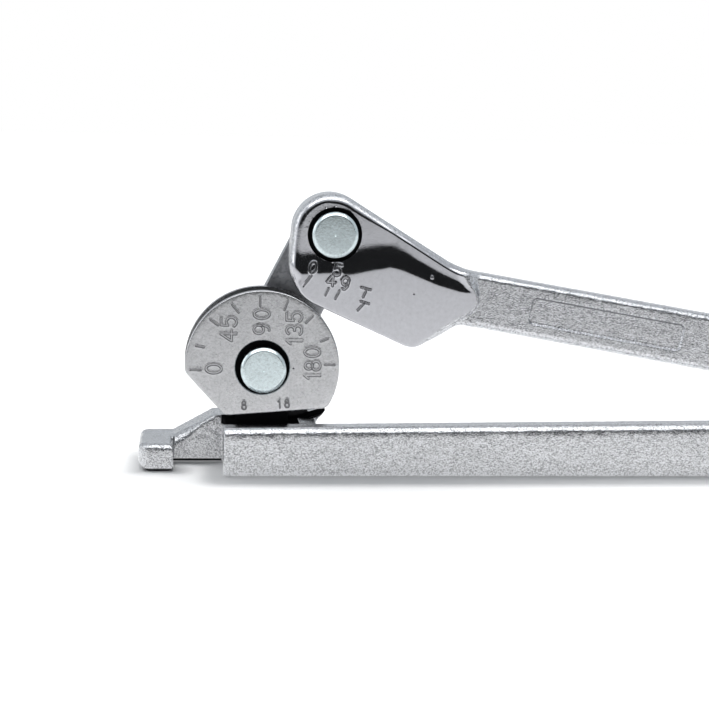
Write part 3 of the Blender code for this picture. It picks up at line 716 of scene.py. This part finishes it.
def make_arm():
    """Rear web, neck and hook of the forging, melted together as forged."""
    web = [
        (-26.45, 0.4, 0.0), (13.3, 0.4, 0.0), (13.3, 9.6, 0.0), (17.3, 14.4, 0.6), (14.6, 14.0, 0.6), (9.0, 12.2, 0.6),
        (-12.0, 12.4, 2.2), (-22.1, 6.8, 0.6), (-26.45, 6.2, 0.0),
    ]
    plan = [(-30.8, -6.0, 3.2), (-22.1, -6.0, 0.3), (-22.1, 15.9, 0.3), (-30.8, 15.9, 3.2)]
    hook = loft("hook", [[(x, y, z) for x, y in outline(plan, inset)] for z, inset in
                         ((0.0, 0.9), (0.25, 0.35), (0.8, 0.0), (4.9, 0.0), (5.8, 0.11), (6.5, 0.62), (6.72, 0.95),
                          (6.8, 1.4))])
    gusset = square([(9.4, 10.0), (13.7, 10.2), (15.4, 12.7), (10.1, 10.9)])
    neck = square([(-9.4, 0.0), (13.7, 0.0), (13.7, 11.6), (-9.4, 11.6)])
    arm = add("lower_arm", slab("lower_arm", neck, -9.25, 9.9))
    boolean(arm, [slab("web", web, 4.3, 15.5, 0.6, 0.6), hook, slab("gusset", gusset, 3.2, 5.0, 0.15)], "UNION")
    melt(arm, 0.22, 5)
    mesh = arm.data
    co = points_of(mesh)
    x, y, z = co.T
    heel = ease((2.6 - z) / 2.6) * ease((-28.4 - x) / 2.6) * 1.3
    co[:, 2] += heel
    top = 6.8 + (x + 22.1) * 5.6 / 10.1
    radius = 1.3 + 1.2 * ease((-14.5 - x) / 5)
    down, back = (top - z) * cos(radians(29)), y - 4.3
    corner = (down < radius) & (down > -0.5) & (back < radius) & (back > -0.5) & (x > -22.0) & (x < -10.5)
    reach = np.maximum(np.hypot(radius - down, radius - back), 0.01)
    pull = np.where(corner, np.minimum(radius / reach, 1.0) - 1.0, 0.0) * ease((-10.5 - x) / 2.0)
    co[:, 2] += (radius - down) * cos(radians(29)) * pull
    co[:, 0] -= (radius - down) * sin(radians(29)) * pull
    co[:, 1] -= (radius - back) * pull
    mesh.vertices.foreach_set("co", (co * MM).astype(np.float32).ravel())
    mesh.update()
    rim = np.exp(-((z - 5.5) / 0.8) ** 2) * (y < -5) + np.exp(-((y - 4.6) / 0.7) ** 2) * (z > 6) * (x < -10)
    return forge(arm, share=1 + 2.6 * rim)


def shade_under_wheel(co):
    """Painted shade on the forging between the wheel's foot and the bar, and a painted contact shadow along the feet
    of the arm and hook.
    """
    x, y, z = co.T
    blot = np.array([perlin.noise(Vector(c / 1.6)) for c in co]) * 0.8
    gap = ease((z - 9.5) / 1.0) * ease((x + 10.5) / 0.8) * (y > -6)
    lit = ease((4.15 - y) / 0.2) * ease((x - 9.2) / 0.5)
    rear = ease((y - 4.9) / 0.3)
    spill = ease((x + 9.5 + blot) / 1.5) * ease((12.8 + blot - x) / 1.5) * ease((13.0 + blot - y) / 1.6)
    foot = ((y < 5.2) + (x < -22.0) * (y < 0) > 0)
    # Painted contact shadow along the bottom of the arm and hook.
    contact_shadow = (ease((1.15 - z) / 0.2) * (x > -22.3) * (x < -9.8) + ease((0.7 - z) / 0.3) * (x < -22.0)) * foot
    return np.minimum(1.0, gap * (1 - lit) * (1 - rear * (1 - spill)) + contact_shadow)


def make_tongue():
    top = PIVOT_Z - 7.5 - 0.3
    tongue = square([(-6.5, 6.0), (6.5, 6.0), (6.5, top), (-6.5, top)])
    return add("wheel_tongue", slab("wheel_tongue", tongue, -2.8, 2.8))


for piece in (make_bar(), make_arm(), make_tongue()):
    mesh = piece.data
    # The tongue is painted black all over as shade in the gap under the wheel; bar and arm get painted shade under the
    # wheel and along their feet.
    darkening = np.ones(len(mesh.vertices)) if piece.name == "wheel_tongue" else shade_under_wheel(points_of(mesh))
    # The whole arm is darkened a little.
    if piece.name == "lower_arm":
        darkening = np.maximum(darkening, 0.09)
    write_darkening(mesh, darkening)
    dress(piece, forged_steel, "form", "forging", "form_handle")
    # Faces that are wholly dark take the near-black shade material.
    mesh.materials.append(shade_black)
    for face in mesh.polygons:
        face.material_index = int(all(darkening[v] > 0.5 for v in face.vertices))


# ---------- link ----------

def make_link():
    points = []
    angle = radians(63)
    for k in range(49):
        a = angle - pi / 2 + pi * k / 48
        points.append((UPPER_X + 8.1 * cos(a), UPPER_Z + 8.1 * sin(a)))
    for k in range(49):
        a = angle + pi / 2 + pi * k / 48
        points.append((8.1 * cos(a), PIVOT_Z + 8.1 * sin(a)))
    plate = add("link_bar", slab("link_bar", square(points), LINK_FRONT, LINK_BACK, 0.4, 0.4))
    boolean(plate, [lathe("eye", [(5.7, 6.4), (5.7, 14.4)], c, 96)
                    for c in ((0.0, PIVOT_Z), (UPPER_X, UPPER_Z))])
    return plate


dress(make_link(), link_steel, "link", "link", "link_plate")


# ---------- pins and turned pieces ----------

def make_pin(name, centre):
    face = FRONT_Y - 1.4
    profile = [
        (0.02, face + 0.14), (0.12, face + 0.10), (0.26, face), (2.0, face), (4.76, face), (4.86, face + 0.005), (4.95, face + 0.03),
        (5.02, face + 0.07), (5.56, face + 0.46), (5.64, face + 0.54), (5.69, face + 0.64), (5.7, face + 0.75),
        (5.7, FRONT_Y + 2.3), (PIN_R, FRONT_Y + 2.3), (PIN_R, 15.0), (3.2, 15.0), (3.2, 16.4), (PIN_R, 16.4),
        (PIN_R, 16.9), (PIN_R - 0.15, 17.15), (PIN_R - 0.4, 17.3), (0.02, 17.3),
    ]
    return add(name, lathe(name, profile, centre, 96))


def make_ring(name, centre, turn):
    points = []
    for k in range(65):
        a = turn + radians(35) + radians(290) * k / 64
        points.append((centre[0] + 6.2 * cos(a), centre[1] + 6.2 * sin(a)))
    for k in range(65):
        a = turn - radians(35) - radians(290) * k / 64
        points.append((centre[0] + 3.5 * cos(a), centre[1] + 3.5 * sin(a)))
    return add(name, slab(name, square(points), 15.3, 16.1))


def turned(name, centre, profile):
    return add(name, lathe(name, profile, centre, 96, closed=True))


def washer(y):
    return [(BORE, y + 0.1), (BORE + 0.1, y), (7.3, y), (7.4, y + 0.1), (7.4, y + 0.9), (7.3, y + 1.0),
            (BORE + 0.1, y + 1.0), (BORE, y + 0.9)]


for prefix, body, centre, turn in (("form", "form", (0.0, PIVOT_Z), 0.0),
                                   ("slide", "link", (UPPER_X, UPPER_Z), LIP_ANGLE)):
    dress(make_pin(prefix + "_pin", centre), pin_steel, body, "pin", prefix + "_pivot_pin")
    dress(turned(prefix + "_washer_front", centre, washer(7.1)), washer_steel, body, "washer",
          prefix + "_front_washer")
    dress(turned(prefix + "_washer_rear", centre, washer(12.7)), washer_steel, body, "washer",
          prefix + "_rear_washer")
    dress(turned(prefix + "_spring", centre, [(BORE, 14.5), (6.35, 14.0), (6.4, 14.05), (6.4, 14.5), (BORE, 15.0)]),
          spring_steel, body, "spring", prefix + "_disc_spring")
    dress(make_ring(prefix + "_ring", centre, turn), spring_steel, body, "spring",
          prefix + "_retaining_ring")

for name in ("link_bush_lower", "link_bush_upper"):
    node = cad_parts[name]
    node.data.materials.clear()
    node.data.materials.append(bush_bronze)
for name in ("wheel_dowel_left", "wheel_dowel_right"):
    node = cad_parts[name]
    node.data.materials.clear()
    node.data.materials.append(pin_steel)


# ---------- upper handle ----------

SHANK_TILT = radians(14.6)
PIN_TO_LIP = 37.9 * cos(radians(2.7)) - 20.15
PLATEAU_END = [(30.0, 9.5), (33.4, 4.6), (35.6, 3.0), (37.4, 2.2), (38.9, 1.15), (39.6, -0.2), (39.6, -1.7),
               (38.9, -3.2), (37.9, -4.6), (35.6, -7.9), (34.0, -10.4), (31.0, -16.0), (29.0, -20.0)]
DARK_LINE = [(-12.0, -11.5), (-4.0, -10.1), (1.5, -6.9), (6.6, -4.6), (11.4, -1.2), (14.9, 0.9), (18.6, 1.2),
             (22.9, 1.1), (28.5, 1.05), (34.0, 1.5), (37.8, 2.3), (41.0, 2.6)]
DARK_WIDTH = [(0.0, 4.5), (0.2, 5.0), (0.35, 6.0), (0.5, 5.6), (0.62, 4.0), (0.8, 2.8), (0.95, 1.6), (1.0, 1.4)]


def shank_point(along, across):
    x, z = along, across - 9.8
    return x * cos(SHANK_TILT) - z * sin(SHANK_TILT), x * sin(SHANK_TILT) + z * cos(SHANK_TILT)


def shank_line(sign):
    a, b = shank_point(41.0, sign * 6.9), shank_point(175.0, sign * 7.5)
    heading = atan2(b[1] - a[1], b[0] - a[0]) + (pi if sign > 0 else 0)
    n = line(heading - pi / 2, 0.0)
    return n[0], n[1], a[0] * n[0] + a[1] * n[1]


def slide_corners():
    top, nose = side(pi - radians(7.35), 9.7), side(radians(-70.7), 10.35)
    lip, lobe = side(0.0, PIN_TO_LIP), side(radians(52), 34.6)
    upper, lower = shank_line(1), shank_line(-1)
    return [
        (*meet(nose, lip), 11.0),
        (*meet(lip, lobe), 6.0),
        (*meet(lobe, lower), 5.0),
        (*shank_point(175.0, -7.5), 6.0),
        (*shank_point(175.0, 7.5), 6.0),
        (*meet(upper, top), 22.0),
        (*meet(top, nose), 10.0),
    ]


def spaced(points, gap):
    out = []
    for a, b in zip(points, points[1:] + points[:1]):
        n = max(1, ceil(hypot(b[0] - a[0], b[1] - a[1]) / gap))
        out += [(a[0] + (b[0] - a[0]) * k / n, a[1] + (b[1] - a[1]) * k / n) for k in range(n)]
    return out


def inward(points):
    p = np.asarray(points, float)
    d = np.roll(p, -1, 0) - np.roll(p, 1, 0)
    d /= np.hypot(d[:, 0], d[:, 1])[:, None]
    return np.column_stack([-d[:, 1], d[:, 0]])


def head_share(points):
    """1 on the thick head, 0 on the shank, across the line where the polished face ends."""
    d, sign, _ = near_path(points, PLATEAU_END)
    signed = -d * sign
    return signed


def front_level(points):
    """How far back the front surface lies, before marks: the head's step down to the shank."""
    d, sign, share = near_path(points, PLATEAU_END)
    width = np.interp(share, (0.0, 0.16, 0.24, 0.30, 0.35, 1.0), (6.0, 5.0, 3.5, 1.8, 0.9, 0.9))
    return 1.8 * ease(d * sign / width)


def rolled(start, steep, soft_from, soft_to, slope=0.15):
    """Height gained across the roll, in shares of its width, and where: a crisp foot and a softer head."""
    t = np.linspace(-1.0, 3.0, 401)
    tilt = slope * ease((t - start) / (steep - start)) * (1 - ease((t - soft_from) / (soft_to - soft_from)))
    return t, np.concatenate([[0.0], np.cumsum((tilt[1:] + tilt[:-1]) / 2 * np.diff(t))])


CRISP, SOFT = rolled(-0.55, -0.35, 0.25, 0.65), rolled(-0.6, -0.25, 0.1, 0.8)


def face_roll(points):
    """The polished face rises a little across a soft line, which catches the dark of the room."""
    d, sign, share = near_path(points, DARK_LINE)
    width = np.interp(share, *zip(*DARK_WIDTH))
    t = d * sign / width
    crisp = ease((share - 0.5) / 0.2)
    return -width * (np.interp(t, *CRISP) * crisp + np.interp(t, *SOFT) * (1 - crisp))


def face_polish(points):
    """How polished the head's face is: its left part is a little grained where it rolls back."""
    d, sign, share = near_path(points, DARK_LINE)
    width = np.interp(share, *zip(*DARK_WIDTH))
    t = d * sign / width
    return 1 - 0.13 * ease((t + 0.1) / 0.4) * ease((0.62 - share) / 0.15)


def shank_panel(points):
    """Depth of the shank's sunken panel."""
    half, start, length = 3.3, 52.5, 40.0
    c, s = cos(SHANK_TILT), sin(SHANK_TILT)
    along = points[:, 0] * c + points[:, 1] * s - (start + length / 2)
    across = -points[:, 0] * s + points[:, 1] * c + 9.8
    qx, qz = np.abs(along) - length / 2 + 1.2, np.abs(across) - half + 1.2
    d = np.hypot(np.maximum(qx, 0), np.maximum(qz, 0)) + np.minimum(np.maximum(qx, qz), 0) - 1.2
    return 0.8 * ease(0.5 - d / 0.5), d


def panel_painted_shade(points):
    """Painted shade along the upper and left walls of the panel."""
    c, s = cos(SHANK_TILT), sin(SHANK_TILT)
    along = points[:, 0] * c + points[:, 1] * s - 72.5
    across = -points[:, 0] * s + points[:, 1] * c + 9.8
    walls = np.maximum(ease((across - 2.0) / 1.2), ease((-along - 19.0) / 0.8) * ease((across + 1.5) / 1.5))
    return 0.62 * np.exp(-((shank_panel(points)[1] + 0.12) / 0.24) ** 2) * walls


def slide_marks():
    up = radians(24.3 + 0)
    marks = []
    for text, x, z, size, turn in (("0", -1.5, -9.6, 2.7, 8), ("5", 4.3, -7.6, 2.9, 12), ("4", 4.0, -10.6, 2.7, 20),
                                   ("9", 7.4, -9.9, 2.9, 10)):
        for path in figure(text, (x, z), size, size * 0.8, radians(turn)):
            marks.append((path, 0.5, 0.16, 0.06))
    for a, b in (((-0.9, -11.6), (-1.6, -14.4)), ((4.3, -12.8), (4.3, -14.6)), ((7.0, -12.2), (6.9, -14.4)),
                 ((11.5, -9.1), (13.9, -8.7)), ((13.0, -9.3), (13.0, -11.1)), ((12.9, -12.3), (15.0, -12.0)),
                 ((13.9, -12.3), (13.2, -14.6))):
        marks.append(([a, b], 0.36, 0.14, 0.03))
    marks.append(([(26.4, 0.8), (26.5, 0.8)], 0.5, 0.14, 0.05))
    marks.append(([(24.1, -4.9), (24.15, -4.9)], 0.3, 0.07, 0.0))
    return marks


def face_depth(points, marks):
    """Y of the upper handle's front surface inside its rounded border."""
    on_head = ease(head_share(points) / 1.5)
    return (FRONT_Y + front_level(points) - marks_height(points, marks) - face_roll(points) * on_head
            + shank_panel(points)[0])


def make_slide():
    ring = spaced(outline(slide_corners(), 0.0, radians(3)), 0.5)
    p = np.asarray(ring)
    normal = inward(ring)
    head = ease(head_share(p) / 5.0 + 0.6)
    lip = ease((-p[:, 1] - 14.5) / 2.5) * (p[:, 0] < 36)
    nose = ease((-p[:, 0] - 4.0) / 3.0)
    e_front = 1.8 + 0.8 * head - 0.3 * nose
    e_front = e_front * (1 - lip) + 0.45 * lip
    lobe = ease((p[:, 0] - 28) / 4) * ease((-p[:, 1] - 2.0) / 2.0) * (p[:, 0] < 42)
    e_front = e_front * (1 - 0.35 * lobe * (1 - lip))
    start_angle = np.radians(6 + 14 * ease((p[:, 0] - 2) / 12) * head * (1 - lip))
    e_back = 1.8 - 0.2 * head
    y_back = 4.2 + 2.6 * head
    marks = slide_marks()
    steps = 9
    rows = []
    first = e_front * (1 - np.sin(start_angle))
    y_front = face_depth(p + normal * first[:, None], marks)
    for more in (1.0, 0.6, 0.28):
        q = p + normal * (first + more)[:, None]
        rows.append((q, face_depth(q, marks)))
    for k in range(steps):
        a = start_angle + (pi / 2 - start_angle) * k / steps
        q = p + normal * (e_front * (1 - np.sin(a)))[:, None]
        rows.append((q, y_front + e_front * (np.cos(start_angle) - np.cos(a))))
    rows.append((p, y_front + e_front * np.cos(start_angle)))
    rows.append((p, y_back - e_back))
    for k in reversed(range(steps)):
        a = pi / 2 * k / steps
        q = p + normal * (e_back * (1 - sin(a)))[:, None]
        rows.append((q, y_back - e_back * (1 - cos(a))))
    size = len(ring)
    verts = [(x, y, z) for q, ys in rows for (x, z), y in zip(q, ys)]
    faces = []
    for r in range(len(rows) - 1):
        a, b = r * size, (r + 1) * size
        for k in range(size):
            n = (k + 1) % size
            faces.append((a + k, a + n, b + n, b + k))

    cap = [tuple(q) for q in rows[0][0]]
    dense = marks_points(marks, [cap])
    coarse = grid([cap], 0.5, 0.3)
    fine = grid([cap], 0.25, 0.2)
    step_line = near_path(fine, PLATEAU_END)[0] < 1.6
    panel_line = np.abs(shank_panel(fine)[1]) < 0.6
    fine = fine[step_line | panel_line]
    keep = (near_path(coarse, PLATEAU_END)[0] >= 1.6) & (np.abs(shank_panel(coarse)[1]) >= 0.6)
    for path, width, depth, rim in marks:
        keep &= near_path(coarse, path)[0] > width / 2 + 0.46
    points, tris, border = fill([cap], np.concatenate([dense, fine, coarse[keep]]))
    y = face_depth(points, marks)
    start = len(verts)
    verts += [(x, yy, z) for (x, z), yy in zip(points[border:], y[border:])]
    index = lambda k: k if k < border else start + k - border
    faces += [(index(a), index(b), index(c)) for a, b, c in tris]

    back_cap = [tuple(q) for q in rows[-1][0]]
    coarse = grid([back_cap], 0.8, 0.5)
    points, tris, border = fill([back_cap], coarse)
    loop = np.vstack([back_cap, back_cap[:1]])
    edge = near_path(points, loop)[0]
    soft = ease(edge / 1.2)
    t = ease(head_share(points) / 3.0 + 0.5)
    closest = np.array([rows[-1][1][np.argmin(np.hypot(*(np.asarray(back_cap) - q).T))] for q in points])
    y = (4.2 + 2.6 * t) * soft + closest * (1 - soft)
    start_back = len(verts)
    offset = (len(rows) - 1) * size
    verts += [(x, yy, z) for (x, z), yy in zip(points[border:], y[border:])]
    back = lambda k: offset + k if k < border else start_back + k - border
    faces += [(back(a), back(c), back(b)) for a, b, c in tris]

    mesh = mesh_from("upper_handle", verts, faces)
    work = bmesh.new()
    work.from_mesh(mesh)
    bmesh.ops.recalc_face_normals(work, faces=work.faces)
    work.to_mesh(mesh)
    work.free()
    handle = add("upper_handle", mesh)
    channel = []
    for x in (-40.0, 40.0):
        channel.append([(x, 4.15 * cos(2 * pi * k / 64), 4.15 * sin(2 * pi * k / 64) - PIN_TO_LIP - 2.15)
                        for k in range(64)])
    boolean(handle, [
        loft("channel", channel),
        lathe("bore", [(BORE, FRONT_Y - 2), (BORE, REAR_Y + 2)], (0, 0), 96),
        lathe("recess", [(RECESS_R + 1.0, FRONT_Y - 0.8), (RECESS_R, FRONT_Y + 0.2), (RECESS_R, RECESS_Y)], (0, 0), 128),
    ])
    mesh = handle.data
    co = np.array([v.co for v in mesh.vertices]) / MM
    flat = co[:, [0, 2]]
    polish = ease(head_share(flat) / 0.6 + 0.2) * (co[:, 1] < -4.4) * face_polish(flat)
    attribute = mesh.attributes.new("polish", "FLOAT", "POINT")
    attribute.data.foreach_set("value", polish.astype(np.float32))
    write_darkening(mesh, np.maximum(marks_dark_lines(flat, marks) * (co[:, 1] < -4.4), panel_painted_shade(flat) * (co[:, 1] < 0)))
    turn = Matrix.Translation((UPPER_X * MM, 0, UPPER_Z * MM)) @ Matrix.Rotation(-LIP_ANGLE, 4, "Y")
    mesh.transform(turn)
    smooth(mesh, 32)
    shank = 1 - ease(head_share(flat) / 1.5 + 0.6)
    rim_gap = near_path(flat, np.vstack([ring, ring[:1]]))[0]
    upper = np.exp(-((rim_gap - 1.3) / 0.7) ** 2) * (flat[:, 1] > -9.8 + flat[:, 0] * tan(SHANK_TILT))
    forge(handle, share=shank * (1.2 + 2.6 * upper) + 0.5 * (1 - shank) * (rim_gap < 1.6))
    return handle


upper_handle = make_slide()
dress(upper_handle, slide_steel, "slide", "slide", "slide_handle")
paint_recess_shade(upper_handle, (UPPER_X, UPPER_Z))


# ---------- stage, light and camera ----------

FLOOR_IN_METAL = 0.40
ROOM_IN_METAL = 0.8
ROOM = 0.36
DARK = 0.02
FEET = [((0.09, -0.0093, 0.0), (0.1, 0.0078, 0.01)), ((-0.006, 0.010, 0.0), (0.02, 0.0057, 0.01)),
        ((-0.0258, 0.005, 0.0), (0.0036, 0.0105, 0.01))]


def make_floor():
    mesh = bpy.data.meshes.new("floor")
    r = 4.0
    mesh.from_pydata([(-r, -r, 0), (r, -r, 0), (r, r, 0), (-r, r, 0)], [], [(0, 1, 2, 3)])
    floor = add("floor", mesh)
    floor.location.z = -0.0001
    material = bpy.data.materials.new("floor_white")
    material.use_nodes = True
    nodes, links = material.node_tree.nodes, material.node_tree.links
    nodes.clear()
    out = nodes.new("ShaderNodeOutputMaterial")
    diffuse = nodes.new("ShaderNodeBsdfDiffuse")
    diffuse.inputs["Color"].default_value = (0.88, 0.88, 0.88, 1)
    white = nodes.new("ShaderNodeEmission")
    white.inputs["Color"].default_value = (1, 1, 1, 1)
    path = nodes.new("ShaderNodeLightPath")
    geometry = nodes.new("ShaderNodeNewGeometry")

    def vector(kind, a, b=None):
        n = nodes.new("ShaderNodeVectorMath")
        n.operation = kind
        for socket, value in zip(n.inputs, (a, b)):
            if hasattr(value, "is_output"):
                links.new(value, socket)
            elif value is not None:
                socket.default_value = value
        return n.outputs["Value" if kind == "LENGTH" else "Vector"]

    away = None
    for middle, half in FEET:
        gap = vector("ABSOLUTE", vector("SUBTRACT", geometry.outputs["Position"], middle))
        gap = vector("LENGTH", vector("MAXIMUM", vector("SUBTRACT", gap, half), (0.0, 0.0, 0.0)))
        if away:
            nearer = nodes.new("ShaderNodeMath")
            nearer.operation = "MINIMUM"
            links.new(away, nearer.inputs[0])
            links.new(gap, nearer.inputs[1])
            gap = nearer.outputs[0]
        away = gap

    def rise(start, end, low, high):
        m = nodes.new("ShaderNodeMapRange")
        m.interpolation_type = "SMOOTHSTEP"
        for name, value in (("From Min", start), ("From Max", end), ("To Min", low), ("To Max", high)):
            m.inputs[name].default_value = value
        links.new(away, m.inputs["Value"])
        return m.outputs["Result"]

    # To the camera the floor glows white, but not within a few millimetres of the feet, which paints a darker band of
    # shade along them; far off the glow grows so the backdrop is white.
    total_white = nodes.new("ShaderNodeMath")
    total_white.operation = "ADD"
    links.new(rise(0.0015, 0.009, 0.0, 0.37), total_white.inputs[0])
    links.new(rise(0.25, 0.9, 0.0, 0.66), total_white.inputs[1])
    times = nodes.new("ShaderNodeMath")
    times.operation = "MULTIPLY"
    links.new(total_white.outputs[0], times.inputs[0])
    links.new(path.outputs["Is Camera Ray"], times.inputs[1])
    # In reflections the floor glows brighter within a few centimetres of the feet, a painted reflection that lightens
    # the low faces of the bar.
    gloss = nodes.new("ShaderNodeMath")
    gloss.operation = "MULTIPLY_ADD"
    links.new(path.outputs["Is Glossy Ray"], gloss.inputs[0])
    links.new(rise(0.004, 0.07, FLOOR_IN_METAL + 0.18, FLOOR_IN_METAL), gloss.inputs[1])
    links.new(times.outputs[0], gloss.inputs[2])
    links.new(gloss.outputs[0], white.inputs["Strength"])
    total = nodes.new("ShaderNodeAddShader")
    links.new(diffuse.outputs[0], total.inputs[0])
    links.new(white.outputs[0], total.inputs[1])
    links.new(total.outputs[0], out.inputs["Surface"])
    mesh.materials.append(material)


def make_world():
    """A pale room, with a dark zone in front where the camera and its operator stand."""
    world = bpy.data.worlds.new("room")
    bpy.context.scene.world = world
    world.use_nodes = True
    nodes, links = world.node_tree.nodes, world.node_tree.links
    nodes.clear()
    out = nodes.new("ShaderNodeOutputWorld")
    where = nodes.new("ShaderNodeTexCoord")
    split = nodes.new("ShaderNodeSeparateXYZ")
    links.new(where.outputs["Generated"], split.inputs[0])

    def ramp(value, start, end, low, high):
        m = nodes.new("ShaderNodeMapRange")
        m.interpolation_type = "SMOOTHSTEP"
        m.inputs["From Min"].default_value = start
        m.inputs["From Max"].default_value = end
        m.inputs["To Min"].default_value = low
        m.inputs["To Max"].default_value = high
        links.new(value, m.inputs["Value"])
        return m.outputs["Result"]

    def times(a, b):
        m = nodes.new("ShaderNodeMath")
        m.operation = "MULTIPLY"
        links.new(a, m.inputs[0])
        links.new(b, m.inputs[1])
        return m.outputs[0]

    front = ramp(split.outputs["Y"], -0.75, -0.45, 1.0, 0.0)
    low = ramp(split.outputs["Z"], 0.38, 0.55, 1.0, 0.0)
    dark = times(front, low)
    path = nodes.new("ShaderNodeLightPath")
    bright = nodes.new("ShaderNodeMapRange")
    bright.inputs["To Min"].default_value = ROOM
    bright.inputs["To Max"].default_value = ROOM_IN_METAL
    links.new(path.outputs["Is Glossy Ray"], bright.inputs["Value"])
    level = nodes.new("ShaderNodeMapRange")
    links.new(bright.outputs["Result"], level.inputs["To Min"])
    level.inputs["To Max"].default_value = DARK
    links.new(dark, level.inputs["Value"])
    room = nodes.new("ShaderNodeBackground")
    room.inputs["Color"].default_value = (0.91, 0.955, 1.0, 1)
    links.new(level.outputs["Result"], room.inputs["Strength"])
    seen = nodes.new("ShaderNodeBackground")
    seen.inputs["Color"].default_value = (1, 1, 1, 1)
    seen.inputs["Strength"].default_value = 1.0
    mix = nodes.new("ShaderNodeMixShader")
    links.new(path.outputs["Is Camera Ray"], mix.inputs[0])
    links.new(room.outputs[0], mix.inputs[1])
    links.new(seen.outputs[0], mix.inputs[2])
    links.new(mix.outputs[0], out.inputs["Surface"])


def softbox(name, place_at, aim, width, height, power, in_metal=True, on_floor=True):
    lamp = bpy.data.lights.new(name, "AREA")
    lamp.shape = "RECTANGLE"
    lamp.size = width
    lamp.size_y = height
    lamp.energy = power
    piece = bpy.data.objects.new(name, lamp)
    bpy.context.scene.collection.objects.link(piece)
    piece.location = place_at
    piece.visible_glossy = in_metal
    piece.visible_diffuse = on_floor
    piece.rotation_euler = (Vector(aim) - Vector(place_at)).to_track_quat("-Z", "Y").to_euler()


def make_camera():
    data = bpy.data.cameras.new("camera")
    data.sensor_width = 36.0
    data.lens = 36.0 * 1700 / 709
    data.clip_start = 0.01
    data.clip_end = 20.0
    camera = bpy.data.objects.new("camera", data)
    bpy.context.scene.collection.objects.link(camera)
    camera.location = (-0.020826, -0.422461, 0.091390)
    camera.rotation_euler = (radians(81.614899), radians(-1.279663), radians(-5.765017))
    bpy.context.scene.camera = camera


make_floor()
make_world()
softbox("top_box", (0.0, -0.42, 0.75), (-0.02, 0.0, 0.03), 1.12, 0.28, 3.3, on_floor=False)
softbox("rear_box", (0.05, 0.24, 0.66), (0.05, -0.02, 0.0), 0.9, 0.25, 4.2, in_metal=False)
softbox("left_box", (-0.8, -0.1, 0.35), (0.0, 0.0, 0.03), 0.4, 0.5, 1.0)
make_camera()
bpy.context.scene.view_settings.view_transform = "Standard"
